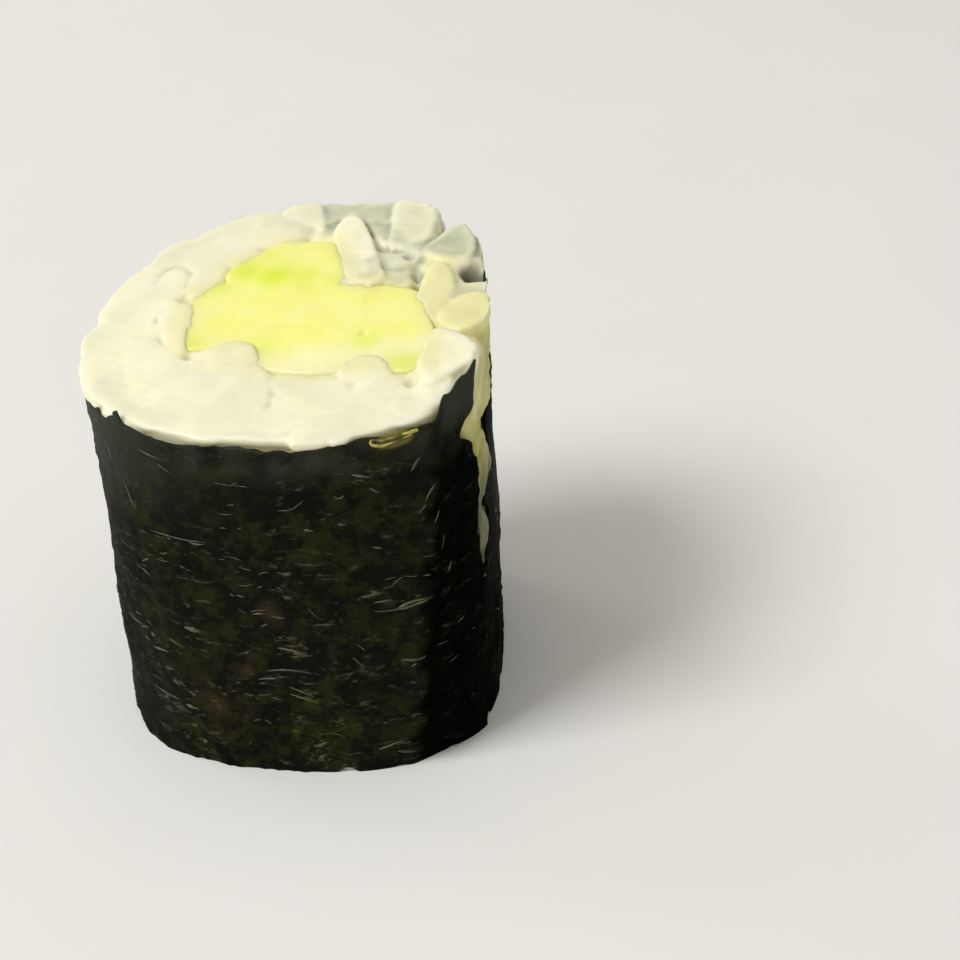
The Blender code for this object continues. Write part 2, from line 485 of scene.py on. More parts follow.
@dataclass(frozen=True)
class Finish:
    """What all finishes share: a name and a material made of the shader's inputs."""

    name: str

    def inputs(self, tree: bpy.types.NodeTree, where: Any) -> dict[str, Any]:
        """Says what goes into the shader.

        Args:
            tree: The material's node tree.
            where: Socket with the piece's own coordinates, in metres.

        Returns:
            A value or a socket for each of the shader's inputs that the finish sets.
        """
        raise NotImplementedError

    def build(self) -> bpy.types.Material:
        """Makes the material."""
        material = bpy.data.materials.new(self.name)
        material.use_nodes = True
        tree = material.node_tree
        tree.nodes.clear()
        where = add_node(tree, "TexCoord").outputs["Object"]
        shader = add_node(tree, "BsdfPrincipled", self.inputs(tree, where))
        add_node(tree, "OutputMaterial", {"Surface": shader.outputs[0]})
        return material


@dataclass(frozen=True)
class RoastedNori(Finish):
    """Roasted laver pressed into a sheet on a screen and damp from the rice.

    The pressed weed is a black green that turns olive or brown where a single layer lets light through. Its
    skin is dull, and fine wet wrinkles show as short pale dashes that lie mostly round the roll: highlights
    painted into the colour, with a little real gloss on them.
    """

    name: str = "roasted_nori_damp"
    black: str = "#090a04"
    olive: str = "#22220c"
    # painted sheen: a grey that stands in for light glancing off the damp sheet
    painted_sheen: str = "#33372d"
    brown: str = "#352c1a"
    moss: str = "#4a501c"
    thin: str = "#6b6230"
    # painted shade: near black where the sheet is shaded, past the front fold and low at the left
    painted_shade_black: str = "#020302"
    # painted highlight: the pale colour of the dashes, where wet wrinkles would catch the light
    glint: str = "#5f5c46"
    patch: float = 1.7 * MM  # across a patch of one colour
    cluster: float = 3.4 * MM  # from one cluster of wrinkles to the next
    flatness: float = 2.8  # how many times longer than high the clusters and the fibres lie
    # Each size of wrinkle: spacing, how many times longer than high, threshold, strength
    wrinkles: tuple = ((1.4 * MM, 2.8, 0.565, 0.9), (0.7 * MM, 2.0, 0.57, 0.6))
    fibre: float = 0.45 * MM  # drawn coarser than the real 0.1 mm, so that it shows
    roughness: float = 0.6
    shine: float = 0.06  # specular level of the dry skin
    relief: float = 0.1 * MM

    def dashes(self, tree: bpy.types.NodeTree, where: Any, clusters: Any) -> Any:
        """Draws short soft dashes that lie mostly round the roll.

        Args:
            tree: The material's nodes.
            where: The pattern's coordinates.
            clusters: Socket that is 1 where the dashes show.

        Returns:
            A socket that is 1 on the dashes.
        """
        found = 0.0
        for length, flatness, low, strength in self.wrinkles:
            flat = add_node(tree, "Mapping", {"Vector": where, "Scale": (1.0, 1.0, flatness)}).outputs[0]
            dash = mottled(tree, flat, length, low, low + 0.16, Detail=3.0, Roughness=0.6, Distortion=0.7)
            dash = add_node(tree, "Math", {0: dash, 1: strength}, operation="MULTIPLY").outputs[0]
            found = add_node(tree, "Math", {0: found, 1: dash}, operation="MAXIMUM").outputs[0]
        return add_node(tree, "Math", {0: found, 1: clusters}, operation="MULTIPLY").outputs[0]

    def inputs(self, tree: bpy.types.NodeTree, where: Any) -> dict[str, Any]:
        """Says what goes into the shader: colours by the painted shares, and gloss only on the dashes.

        Args:
            tree: The material's nodes.
            where: Socket with the sheet's own coordinates.

        Returns:
            A value or a socket for each of the shader's inputs.
        """
        flat = add_node(tree, "Mapping", {"Vector": where, "Scale": (1.0, 1.0, self.flatness)}).outputs[0]
        patches = mottled(tree, where, self.patch, 0.42, 0.64, Detail=6.0, Roughness=0.72)
        clusters = mottled(tree, flat, self.cluster, 0.45, 0.66, Detail=3.0, Roughness=0.6)
        fibres = add_node(tree, "TexNoise", {
            "Vector": flat, "Scale": 1.0 / self.fibre, "Detail": 3.0, "Distortion": 0.5,
        }).outputs["Fac"]
        painted_sheen, brown, moss, thick, lip, glint = (
            add_node(tree, "Attribute", attribute_name=name).outputs["Fac"]
            for name in ("painted_sheen", "brown", "moss", "thick", "lip", "glint")
        )
        spread = {"Value": fibres, "From Min": 0.45, "From Max": 0.6}
        specks = add_node(tree, "MapRange", spread, **EASED).outputs[0]
        mossy = add_node(tree, "Math", {0: moss, 1: specks}, operation="MULTIPLY").outputs[0]
        dashes = self.dashes(tree, where, clusters)
        shining = add_node(tree, "Math", {0: dashes, 1: glint}, operation="MULTIPLY").outputs[0]
        # Where the painted shade lies (the thick share), the skin also loses its gloss.
        dry = add_node(tree, "MapRange", {"Value": thick, "To Min": self.shine, "To Max": 0.0}).outputs[0]
        wet = add_node(tree, "Math", {0: shining, 1: 0.5, 2: dry}, operation="MULTIPLY_ADD").outputs[0]
        heights = add_node(tree, "Math", {0: dashes, 1: 0.7, 2: fibres}, operation="MULTIPLY_ADD").outputs[0]
        bump = add_node(tree, "Bump", {"Height": heights, "Distance": self.relief, "Strength": 0.8})
        # Among these layers is painted light: a grey sheen, near-black shade past the front fold and at the
        # left, and the pale highlights of the dashes.
        colour = layered(
            tree, self.black, (patches, self.olive), (painted_sheen, self.painted_sheen), (brown, self.brown),
            (mossy, self.moss), (thick, self.painted_shade_black), (lip, self.thin), (shining, self.glint),
        )
        return {
            "Base Color": colour, "Roughness": self.roughness, "Normal": bump.outputs[0],
            "IOR": 1.45, "Specular IOR Level": wet,
        }


@dataclass(frozen=True)
class WetLaver(Finish):
    """Single strands and folds of laver that stand off the sheet, wet, so they shine as fine lines.

    Attributes:
        deep: Colour where it is thick.
        pale: Colour where it is thin.
    """

    name: str = "laver_strand_wet"
    deep: str = "#26271b"
    pale: str = "#4c4b34"
    variation: float = 1.3 * MM
    roughness: float = 0.3

    def inputs(self, tree: bpy.types.NodeTree, where: Any) -> dict[str, Any]:
        """Says what goes into the shader: two colours in soft patches, under a film of water.

        Args:
            tree: The material's nodes.
            where: Socket with the strands' own coordinates.

        Returns:
            A value or a socket for each of the shader's inputs.
        """
        thin = mottled(tree, where, self.variation, 0.4, 0.65, Detail=2.0)
        return {
            "Base Color": layered(tree, self.deep, (thin, self.pale)), "Roughness": self.roughness,
            "IOR": 1.45, "Specular IOR Level": 0.6,
        }


@dataclass(frozen=True)
class Flesh(Finish):
    """What rice and cucumber share: soft wet flesh that light sinks into.

    Attributes:
        cloud: From one soft patch of colour to the next.
        depth: How far red, green and blue light sink in.
        relief: Height of the fine grain of the surface.
    """

    cloud: float
    depth: tuple[float, float, float]
    roughness: float
    ior: float
    relief: float = 0.02 * MM

    def soft(self, tree: bpy.types.NodeTree, colour: Any, heights: Any, strength: float) -> dict[str, Any]:
        """Says what goes into the shader of soft flesh.

        Args:
            tree: The material's nodes.
            colour: Socket with the flesh's colour.
            heights: Socket with its fine relief.
            strength: How much of the relief shows.

        Returns:
            A value or a socket for each of the shader's inputs.
        """
        bump = add_node(tree, "Bump", {"Height": heights, "Distance": self.relief, "Strength": strength})
        return {
            "Base Color": colour, "Roughness": self.roughness, "Normal": bump.outputs[0], "IOR": self.ior,
            "Subsurface Weight": 0.5, "Subsurface Radius": self.depth, "Subsurface Scale": 1.0,
        }


@dataclass(frozen=True)
class CookedRice(Flesh):
    """Short grain rice, steamed and pressed.

    It is a soft cream that light sinks into, greyer where a grain is clear. The starch on it dries to a satin
    film, so highlights are broad and weak.
    """

    name: str = "steamed_rice_starchy"
    cloud: float = 2.6 * MM
    depth: tuple[float, float, float] = (1.5 * MM, 1.4 * MM, 0.9 * MM)
    roughness: float = 0.42
    ior: float = 1.4
    cream: str = "#f3f0d4"
    warm: str = "#f1edcb"
    milky: str = "#edeacd"
    clear: str = "#b3b79d"
    yellow: str = "#e9e08e"
    stain: str = "#aaa544"
    shade: str = "#1e1e0a"
    grain: float = 2.5 * MM  # across a grain that the knife went through, which shows as a patch of one tone
    starch: float = 0.35 * MM  # grains of starch film, drawn coarser than real ones so that they show

    def inputs(self, tree: bpy.types.NodeTree, where: Any) -> dict[str, Any]:
        """Says what goes into the shader: cream in patches a grain wide, then the painted tints.

        Args:
            tree: The material's nodes.
            where: Socket with the rice's own coordinates.

        Returns:
            A value or a socket for each of the shader's inputs.
        """
        film = add_node(tree, "TexNoise", {"Vector": where, "Scale": 1.0 / self.starch, "Detail": 3.0})
        cells = add_node(tree, "TexVoronoi", {"Vector": where, "Scale": 1.0 / self.grain}).outputs["Color"]
        spread = {"Value": cells, "From Min": 0.3, "From Max": 0.9}
        facets = add_node(tree, "MapRange", spread, **EASED).outputs[0]
        clear, yellow, stain, shade = (
            add_node(tree, "Attribute", attribute_name=name).outputs["Fac"]
            for name in ("clear", "yellow", "stain", "shade")
        )
        colour = layered(
            tree, self.cream, (mottled(tree, where, self.cloud, 0.35, 0.65, Detail=3.0), self.warm),
            (facets, self.milky), (clear, self.clear), (yellow, self.yellow), (stain, self.stain),
            (shade, self.shade),
        )
        return self.soft(tree, colour, film.outputs["Fac"], 0.5)


@dataclass(frozen=True)
class CutCucumber(Flesh):
    """Raw cucumber, peeled and cut with a knife: wet, translucent, pale yellow, greener near its rind."""

    name: str = "raw_cucumber_cut"
    cloud: float = 2.8 * MM
    depth: tuple[float, float, float] = (1.9 * MM, 1.8 * MM, 0.7 * MM)
    roughness: float = 0.3
    ior: float = 1.36
    flesh: str = "#f4f088"
    pale: str = "#f6f29c"
    milky: str = "#f6f2bc"
    green: str = "#d8e83e"
    cell: float = 0.5 * MM  # flesh cells, drawn coarser than the real 0.1 mm so that they show

    def inputs(self, tree: bpy.types.NodeTree, where: Any) -> dict[str, Any]:
        """Says what goes into the shader: yellow in soft patches, milky in front and green near the rind.

        Args:
            tree: The material's nodes.
            where: Socket with the cucumber's own coordinates.

        Returns:
            A value or a socket for each of the shader's inputs.
        """
        cells = add_node(tree, "TexVoronoi", {"Vector": where, "Scale": 1.0 / self.cell})
        paler_front, rind = (
            add_node(tree, "Attribute", attribute_name=name).outputs["Fac"] for name in ("paler_front", "rind")
        )
        colour = layered(
            tree, self.flesh, (mottled(tree, where, self.cloud, 0.35, 0.65, Detail=3.0), self.pale),
            (paler_front, self.milky), (rind, self.green),
        )
        return self.soft(tree, colour, cells.outputs["Distance"], 0.4)


@dataclass(frozen=True)
class PaperSweep(Finish):
    """Matt backdrop paper: pale, even, with a faint mottle."""

    name: str = "backdrop_paper_matt"
    light: str = "#e9e8e4"
    dark: str = "#e4e3df"
    mottle: float = 20.0 * MM

    def inputs(self, tree: bpy.types.NodeTree, where: Any) -> dict[str, Any]:
        """Says what goes into the shader: two pale colours, and almost no gloss.

        Args:
            tree: The material's nodes.
            where: Socket with the floor's own coordinates.

        Returns:
            A value or a socket for each of the shader's inputs.
        """
        mottle = add_node(tree, "TexNoise", {"Vector": where, "Scale": 1.0 / self.mottle, "Detail": 4.0})
        colour = layered(tree, self.light, (mottle.outputs["Fac"], self.dark))
        return {"Base Color": colour, "Roughness": 0.85, "Specular IOR Level": 0.2}


# ---------------------------------------------------------------- nori


@dataclass
class NoriSheet:
    """The sheet of nori, rolled round the rice until its two ends cross.

    Attributes:
        shape: The roll.
    """

    shape: RollShape
    thickness: float = 0.18 * MM
    steps_round: int = 392
    steps_up: int = 124
    # Each end of the sheet: height in mm, direction. The outer end has one torn notch near the top, and the
    # inner end has a small tooth half way up and lacks its upper corner.
    outer_end: tuple = (
        (0.0, -38.0), (12.0, -35.5), (15.3, -38.0), (20.3, -36.0), (22.6, -39.0), (24.2, -44.5),
        (25.5, -36.5), (28.5, -33.0),
    )
    inner_end: tuple = (
        (0.0, -47.0), (10.0, -37.0), (12.5, -31.5), (14.7, -24.0), (16.4, -29.0), (17.3, -29.0),
        (18.3, -15.0), (21.6, -23.0), (22.6, -15.0), (23.6, 1.0), (24.3, 6.0), (26.5, 8.0), (28.5, 15.0),
    )
    lap_lift: float = 0.42 * MM  # the outer end stands off this far to pass over the inner one
    lap_start: float = 34.0  # degrees before the outer end where it begins to lift
    lap_full: float = 14.0  # and where it has lifted
    # How the damp sheet sags over the grains: height, wavelength, seed
    sag: tuple = ((0.16 * MM, 7.0 * MM, 1), (0.11 * MM, 3.1 * MM, 2))
    # Its wrinkles: height, wavelength, seed, sharpness
    wrinkles: tuple = ((0.13 * MM, (2.1 * MM, 2.1 * MM, 1.2 * MM), 3, 3.0), (0.07 * MM, 0.9 * MM, 6, 2.0))
    # How the knife left its upper edge: height, wavelength, seed
    ragged_edge: tuple = ((0.16 * MM, 1.6 * MM, 11), (0.09 * MM, 0.6 * MM, 12))
    crease: tuple = ((3.7, -62.5), (22.6, -54.0))  # the hard fold down the front: heights in mm, directions
    crease_height: float = 0.2 * MM
    fold: tuple[float, float] = (-63.0, 5.6)  # the thin fold on the rim: direction, half its width
    # Torn shreds that stand up from the rim at the left: direction, height in mm, half the width in degrees
    tufts: tuple = ((-141.5, 0.85, 1.1), (-144.5, 0.35, 1.4), (-151.0, 0.4, 1.5), (-156.5, 0.35, 1.0))
    # Patches of another colour: height in mm, direction, how wide in mm
    brown_spots: tuple = ((4.6, -120.0, 1.3), (8.2, -110.0, 0.7), (13.0, -100.0, 0.8))
    moss_spots: tuple = ((2.3, -90.0, 1.0), (3.4, -97.0, 0.6), (4.4, -84.0, 0.6), (6.3, -93.0, 0.7))

    def end_angle(self, outline: tuple, height: Array) -> Array:
        """Direction of one end of the sheet at each height, eased between the outline's points."""
        height_mm = height / MM
        angle = np.full(np.shape(height_mm), outline[0][1])
        for (low, before), (high, after) in zip(outline, outline[1:]):
            angle = angle + (after - before) * smooth_step(low, high, height_mm)
        return np.radians(angle)

    def uncovered(self, angle: Array, height: Array) -> Array:
        """From 0 under the sheet to 1 in the gap between its ends."""
        turn = turn_of(angle)
        outer = np.degrees(self.end_angle(self.outer_end, height))
        inner = np.degrees(self.end_angle(self.inner_end, height))
        return smooth_step(-1.5, 2.0, turn - outer) * smooth_step(-1.5, 2.0, inner - turn)

    def crease_toward(self, height: Array, ends: tuple[float, float] = (-math.inf, math.inf)) -> Array:
        """Direction of the hard fold at each height, its line held between two shares of its length."""
        (low, start), (high, finish) = self.crease
        return start + (finish - start) * np.clip((height / MM - low) / (high - low), *ends)

    def relief(self, angle: Array, height: Array) -> Array:
        """How far the damp sheet stands out of true, outwards, at a direction and height."""
        spots = round_axis(self.shape.radius, angle, height)
        crumpled = smooth_step(-0.3, 0.3, waves(spots, 6.0 * MM, 4))
        wrinkles = sum(high * ridges(spots, *wrinkle) for high, *wrinkle in self.wrinkles)
        rough = 0.04 + 0.05 * about(angle, -178.0, 16.0)
        fine = rough * MM * waves(spots, (1.1 * MM, 1.1 * MM, 0.7 * MM), 5)
        away = turn_of(angle) - self.crease_toward(height)
        ridge = self.crease_height * np.exp(-np.abs(away) / 4.0) - 0.14 * MM * bell(away - 9.0, 6.0)
        return rumpled(spots, self.sag) + wrinkles * crumpled + fine + ridge

    def rim(self, angle: Array, below: Array) -> Array:
        """Outward move of the sheet near its upper edge, below which each point lies: flared at the left."""
        at_left = about(angle, 192.0, 20.0) * smooth_step(4.0 * MM, 0.5 * MM, below)
        return 0.2 * MM * (at_left + self.lip_share(angle, below))

    def lip_share(self, angle: Array, below: Array) -> Array:
        """How much of the thin fold a spot has, by its direction and its depth below the edge."""
        across = (turn_of(angle) - self.fold[0]) / self.fold[1]
        return smooth_step(1.0, 0.6, np.hypot(across, (below - 0.4 * MM) / (0.75 * MM)))

    def foot(self, angle: Array, height: Array) -> Array:
        """Outward move of the sheet near the floor: drawn in under the lap and flared at the left."""
        turn = turn_of(angle)
        drawn_in, flared = 0.65 * MM * bell(turn + 56.0, 16.0), 0.3 * MM * bell(turn + 143.0, 20.0)
        return (flared - drawn_in) * smooth_step(4.5 * MM, 0.0, height)

    def top(self, angle: Array) -> Array:
        """Height of the knife-cut upper edge in each direction."""
        around = round_axis(self.shape.radius, angle, 0.0)
        edge = 0.22 * MM * np.sin(7 * angle + 1.0) * np.cos(3 * angle)
        edge = edge + rumpled(around, self.ragged_edge)
        edge = edge - 0.45 * MM * about(angle, -94.0, 22.0) - 0.8 * MM * about(angle, 41.0, 4.0)
        for toward, stands_up, wide in self.tufts:
            edge = edge + stands_up * MM * about(angle, toward, wide)
        flat = self.shape.cut_height(*round_axis(self.shape.outside(angle), angle, 0.0).T[:2])
        stands = self.shape.flap * self.shape.flap_share(angle) * (1.0 + 0.35 * waves(around, 1.3 * MM, 14))
        return flat + edge + stands - self.shape.sunk * self.shape.sunk_share(angle)

    def points(self, share_round: Array, share_up: Array, outward: float) -> Array:
        """Points of the sheet.

        Args:
            share_round: From 0 at the sheet's inner end to 1 at its outer end.
            share_up: From 0 at its lower edge to 1 at its upper edge.
            outward: Distance outwards from the outer skin.

        Returns:
            One row for each point, from the roll's axis.
        """
        nominal = share_up * self.shape.height
        jag = math.radians(0.8) * waves(level_points(nominal, share_round * 0.02), 0.9 * MM, 8)
        near_ends = smooth_step(0.02, 0.0, share_round) + smooth_step(0.98, 1.0, share_round)
        start = self.end_angle(self.inner_end, nominal)
        finish = self.end_angle(self.outer_end, nominal) + math.tau
        angle = start + (finish - start) * share_round + jag * near_ends
        before_end = np.degrees(finish - angle)
        lift = self.lap_lift * (1.0 - smooth_step(self.lap_full, self.lap_start, before_end))
        peel = 0.12 * MM * smooth_step(8.0, 0.0, before_end) * smooth_step(14.0, 24.0, nominal / MM)
        top = self.top(angle)
        nicked = smooth_step(0.15, 0.5, waves(round_axis(self.shape.radius, angle, 0.0), 1.9 * MM, 13))
        nick = 0.45 * MM * nicked * (1.0 - share_up) ** 12
        height = share_up * top + nick
        radius = self.shape.outside(angle) + lift + peel + outward + self.foot(angle, height)
        radius = radius + self.relief(angle, height) + self.rim(angle, top - height)
        return round_axis(radius, angle, height)

    def inside_radius(self, angle: Array, height: Array) -> Array:
        """Distance from the axis to the sheet's inner skin, away from its crossing ends."""
        outer = self.shape.outside(angle) + self.relief(angle, height) + self.foot(angle, height)
        return outer - self.thickness

    def spotted(self, angle: Array, height: Array, spots: tuple) -> Array:
        """How strongly each point of the sheet lies in one of the spots, with ragged borders."""
        ragged = 1.0 + 0.8 * waves(round_axis(self.shape.radius, angle, height), 1.2 * MM, 15)
        found = np.zeros(len(angle))
        for up, toward, wide in spots:
            across = self.shape.radius * np.radians(turn_of(angle - math.radians(toward)))
            far = np.hypot(across, height - up * MM) / (wide * MM)
            found = np.maximum(found, bell(far * ragged, 0.8))
        return found

    def painted_sheen_share(self, points: Array, angle: Array, below_top: Array) -> Array:
        """How far a painted sheen greys the sheet, standing in for light that glances off it: along its rim,
        at the left and on its loose corner.
        """
        height = points[:, 2]
        rim = 0.65 * smooth_step(3.2 * MM, 1.2 * MM, below_top) * (0.6 + 0.9 * waves(points, 1.3 * MM, 28))
        left = smooth_step(18.0 * MM, 25.0 * MM, height) * about(angle, -155.0, 30.0)
        edge = 0.45 * about(angle, -177.0, 8.0)
        flap = 0.95 * self.shape.flap_share(angle) * smooth_step(24.0 * MM, 26.5 * MM, height)
        return np.clip(np.maximum.reduce([rim, left, edge, flap]), 0.0, 1.0)

    def shares(self, outer: Array) -> dict[str, Array]:
        """Works out how far each of the nori's tints and finishes shows.

        Args:
            outer: Points of the sheet's outer skin.

        Returns:
            Shares from 0 to 1, by the name that the finish reads.
        """
        angle, height = np.arctan2(outer[:, 1], outer[:, 0]), outer[:, 2]
        below_top = self.top(angle) - height
        fold_line = self.crease_toward(height, (0.0, 1.2)) + 2.8 * waves(outer, 1.4 * MM, 16)
        turn = turn_of(angle)
        past_fold = turn - fold_line - 2.0 * waves(outer, 4.0 * MM, 17)
        # Painted shade: past the front fold the sheet turns away from the light, so it is painted darker
        # there.
        past_fold_shade = smooth_step(-2.2, 2.2, past_fold) * smooth_step(30.0, -20.0, turn)
        shaded = 0.5 * about(angle, -155.0, 13.0) * smooth_step(21.0 * MM, 15.0 * MM, height)
        lit = 0.5 + 0.5 * smooth_step(20.0 * MM, 12.0 * MM, height)
        return {
            "lip": self.lip_share(angle, below_top),
            # The thick share is painted shade, past the front fold and low at the left, not a thicker sheet.
            "thick": np.maximum(0.9 * past_fold_shade * smooth_step(25.5 * MM, 22.0 * MM, height), shaded),
            "painted_sheen": self.painted_sheen_share(outer, angle, below_top),
            "brown": 0.8 * self.spotted(angle, height, self.brown_spots),
            "moss": 0.9 * self.spotted(angle, height, self.moss_spots),
            "glint": (1.0 - 0.8 * past_fold_shade) * lit * (1.0 - 0.6 * about(angle, -172.0, 24.0)),
        }

    def build(self, finish: bpy.types.Material) -> None:
        """Makes the sheet as one closed band: its outside, its inside and the four edges between them."""
        around, up = self.steps_round + 1, self.steps_up + 1
        shares = [share.ravel() for share in np.meshgrid(np.linspace(0, 1, around), np.linspace(0, 1, up))]
        outer, inner = self.points(*shares, 0.0), self.points(*shares, -self.thickness)
        count = around * up
        number = np.arange(count).reshape(up, around)
        skin = np.stack([number[:-1, :-1], number[:-1, 1:], number[1:, 1:], number[1:, :-1]], axis=-1)
        skin = skin.reshape(-1, 4)
        loop = np.concatenate([number[0, :], number[1:, -1], number[-1, -2::-1], number[-2:0:-1, 0]])
        following = np.roll(loop, -1)
        edge = np.stack([following, loop, loop + count, following + count], axis=1)
        faces = np.concatenate([skin, skin[:, ::-1] + count, edge])
        piece = new_piece("nori_sheet", np.concatenate([outer, inner]), faces, self.shape)
        for name, values in self.shares(outer).items():
            paint(piece, name, np.tile(values, 2))
        hand_in(piece, finish, "nori", "nori")


@dataclass(frozen=True)
class Crease:
    """One raised strand or sharp wrinkle of the nori.

    Attributes:
        toward: Direction of its middle, in degrees.
        up: Height of its middle, in mm.
        length: Along it, in mm.
        climb: How steeply it rises to the right, in degrees.
        width: Across it, in mm.
        bend: How far it turns from end to end, in degrees.
    """

    toward: float
    up: float
    length: float
    climb: float = 0.0
    width: float = 0.12
    bend: float = 0.0


@dataclass
class NoriCreases:
    """Strands and wrinkles that stand up a little from the sheet, singly and in clusters.

    Attributes:
        sheet: The sheet they lie on.
    """

    sheet: NoriSheet
    clusters: int = 38
    sides: int = 6
    steps: int = 20
    seed: int = 21
    # The wrinkles that show singly, each with a Crease's sizes in their order
    bold: tuple[tuple[float, ...], ...] = (
        (-64, 13.2, 3.7, 6, 0.2, 30), (-62, 13.4, 2, 14, 0.26, -20), (-69, 13.8, 1.2, 0, 0.14),
        (-97, 8.4, 3.4, 0, 0.18, -20), (-94, 6.7, 1.9, -22, 0.18), (-94.5, 6.2, 1.6, -18, 0.14),
        (-88, 13.3, 1.1, -50, 0.12), (-77, 9.2, 1.2, -50, 0.14), (-141, 20.3, 2.1, -68, 0.18, 25),
        (-126, 18.1, 4.2, -2, 0.1, 10), (-125, 11, 1.3, -5, 0.4), (-139, 8.3, 0.9, 0, 0.16),
        (-138, 4.7, 2.4, -4, 0.16), (-129, 4.3, 1, -10, 0.26), (-62.5, 9, 1.6, -5, 0.18, 70),
        (-76, 10.4, 0.9, -50, 0.12), (-87, 19.6, 0.7, 0, 0.18), (-78, 20, 0.5, 0, 0.22),
        (-69.5, 18, 0.6, -25, 0.2), (-78, 22, 0.8, 0, 0.16, 150), (-91, 21.3, 2.2, 25, 0.1, 60),
        (-58.5, 23.7, 1.1, 48, 0.2), (-108, 22.6, 3.2, -3, 0.08, 8), (-90, 2.4, 1, 20, 0.3, 60),
        (-85, 3.2, 1.6, -20, 0.12, -60), (-70, 2, 1.8, 15, 0.16), (-66, 1.2, 1.2, -10, 0.24),
        (-104, 7.6, 1.6, 8, 0.12), (-53.5, 19.3, 0.9, 60, 0.12), (-50, 15, 0.8, 70, 0.12),
        (-52, 17.2, 1.2, 80, 0.08, 30), (-55.5, 21.3, 1.3, 62, 0.14, -25), (-57.5, 20.2, 0.9, 50, 0.1),
        (-72, 23.4, 1.1, -15, 0.22), (-69, 22.3, 0.8, -40, 0.18), (-131, 24.1, 1.8, -12, 0.12, 20),
        (-127, 23.3, 0.9, -35, 0.18), (-147, 23, 1.6, -75, 0.12),
    )

    def outline(self, crease: Crease) -> Array:
        """Rings of points along one crease, which tapers to both ends and bulges only a little."""
        along = np.linspace(0.0, 1.0, self.steps)
        heading = np.radians(crease.climb + crease.bend * (along - 0.5))
        step = crease.length * MM / (self.steps - 1)
        sideways = np.cumsum(np.cos(heading)) * step
        upwards = np.cumsum(np.sin(heading)) * step
        angle = math.radians(crease.toward) + (sideways - sideways.mean()) / self.sheet.shape.radius
        height = crease.up * MM + upwards - upwards.mean()
        middle = self.on_skin(angle, height)
        uneven = 1.0 + 0.5 * waves(middle, 0.35 * MM, 29)
        thick = (0.04 + np.sin(np.pi * along)) ** 0.7 * crease.width * MM / 2 * uneven
        return self.strand(middle, np.gradient(middle, axis=0), thick, 0.7, self.sides)

    def strand(self, middle: Array, forward: Array, thick: Array, flat: float, sides: int) -> Array:
        """Rings of points round a line on the sheet.

        Args:
            middle: Points of the line.
            forward: Arrows along it.
            thick: Half the strand's width at each point.
            flat: Its height as a share of its width.
            sides: Points in each ring.

        Returns:
            The rings' points, one row each.
        """
        out = unit(middle * (1.0, 1.0, 0.0))
        side = np.cross(unit(forward), out)
        turn = math.tau * np.arange(sides) / sides
        ring = side[:, None] * np.cos(turn)[None, :, None] + flat * out[:, None] * np.sin(turn)[None, :, None]
        return (middle[:, None] + ring * thick[:, None, None]).reshape(-1, 3)

    def on_skin(self, angle: Array, height: Array) -> Array:
        """Points of the sheet's outer skin at directions and heights."""
        nominal = height * self.sheet.shape.height / self.sheet.top(angle)
        start = self.sheet.end_angle(self.sheet.inner_end, nominal)
        finish = self.sheet.end_angle(self.sheet.outer_end, nominal) + math.tau
        turned = start + (angle - start) % math.tau
        share_round = np.clip((turned - start) / (finish - start), 0.002, 0.998)
        return self.sheet.points(share_round, np.clip(nominal / self.sheet.shape.height, 0.004, 0.996), 0.0)

    def scattered(self) -> list[Crease]:
        """Draws clusters of creases, most of them over the lower part of the roll."""
        rng = np.random.default_rng(self.seed)
        found = []
        for _ in range(self.clusters):
            toward, up = rng.uniform(-180.0, 180.0), 25.0 * rng.beta(1.2, 1.5) + 0.8
            heading = rng.normal(0.0, 12.0)
            count = rng.integers(3, 9)
            for _ in range(1 if -60.0 < toward < 30.0 else count):
                found.append(Crease(
                    toward + rng.normal(0.0, 6.0), float(np.clip(up + rng.normal(0.0, 1.0), 0.5, 25.0)),
                    0.3 + min(rng.gamma(1.8, 0.28), 1.1), heading + rng.normal(0.0, 14.0),
                    rng.uniform(0.06, 0.14), rng.normal(0.0, 25.0),
                ))
        return found

    def build(self, finish: bpy.types.Material) -> None:
        """Makes all the creases as one piece, each a closed tube."""
        creases = [Crease(*sizes) for sizes in self.bold] + self.scattered()
        size = self.steps * self.sides
        ends = [list(range(self.sides))[::-1], list(range(size - self.sides, size))]
        tube = tube_faces(self.steps, self.sides) + ends
        points, faces = merged([(self.outline(crease), tube) for crease in creases])
        hand_in(new_piece("nori_creases", points, faces, self.sheet.shape), finish, "nori")


@dataclass
class NoriFold:
    """The thin flap of the rim that folded over at the front: a bright rolled edge round an olive window."""

    creases: NoriCreases
    half_width: float = 1.4 * MM
    half_height: float = 0.33 * MM
    thick: float = 0.09 * MM
    below_rim: float = 0.12 * MM
    lean: float = 0.10
    steps: int = 60
    sides: int = 8

    def build(self, finish: bpy.types.Material) -> None:
        """Makes the rolled edge as a closed ring that lies on the sheet."""
        sheet = self.creases.sheet
        turn = math.tau * np.arange(self.steps) / self.steps
        across = self.half_width * np.cos(turn)
        angle = math.radians(sheet.fold[0]) + across / sheet.shape.radius
        height = sheet.top(angle) - self.below_rim
        height = height + self.half_height * np.sin(turn) * (1.0 - 0.3 * np.cos(turn))
        middle = self.creases.on_skin(angle, height + self.lean * across)
        forward = np.roll(middle, -1, axis=0) - np.roll(middle, 1, axis=0)
        thick = self.thick * (1.0 + 0.35 * np.sin(2 * turn + 1.0) + 0.25 * waves(middle, 0.9 * MM, 27))
        proud = middle + 0.5 * self.thick * unit(middle * (1.0, 1.0, 0.0))
        points = self.creases.strand(proud, forward, thick, 1.0, self.sides)
        faces = tube_faces(self.steps, self.sides, closed=True)
        hand_in(new_piece("nori_fold", points, faces, sheet.shape), finish, "nori")


# ---------------------------------------------------------------- rice


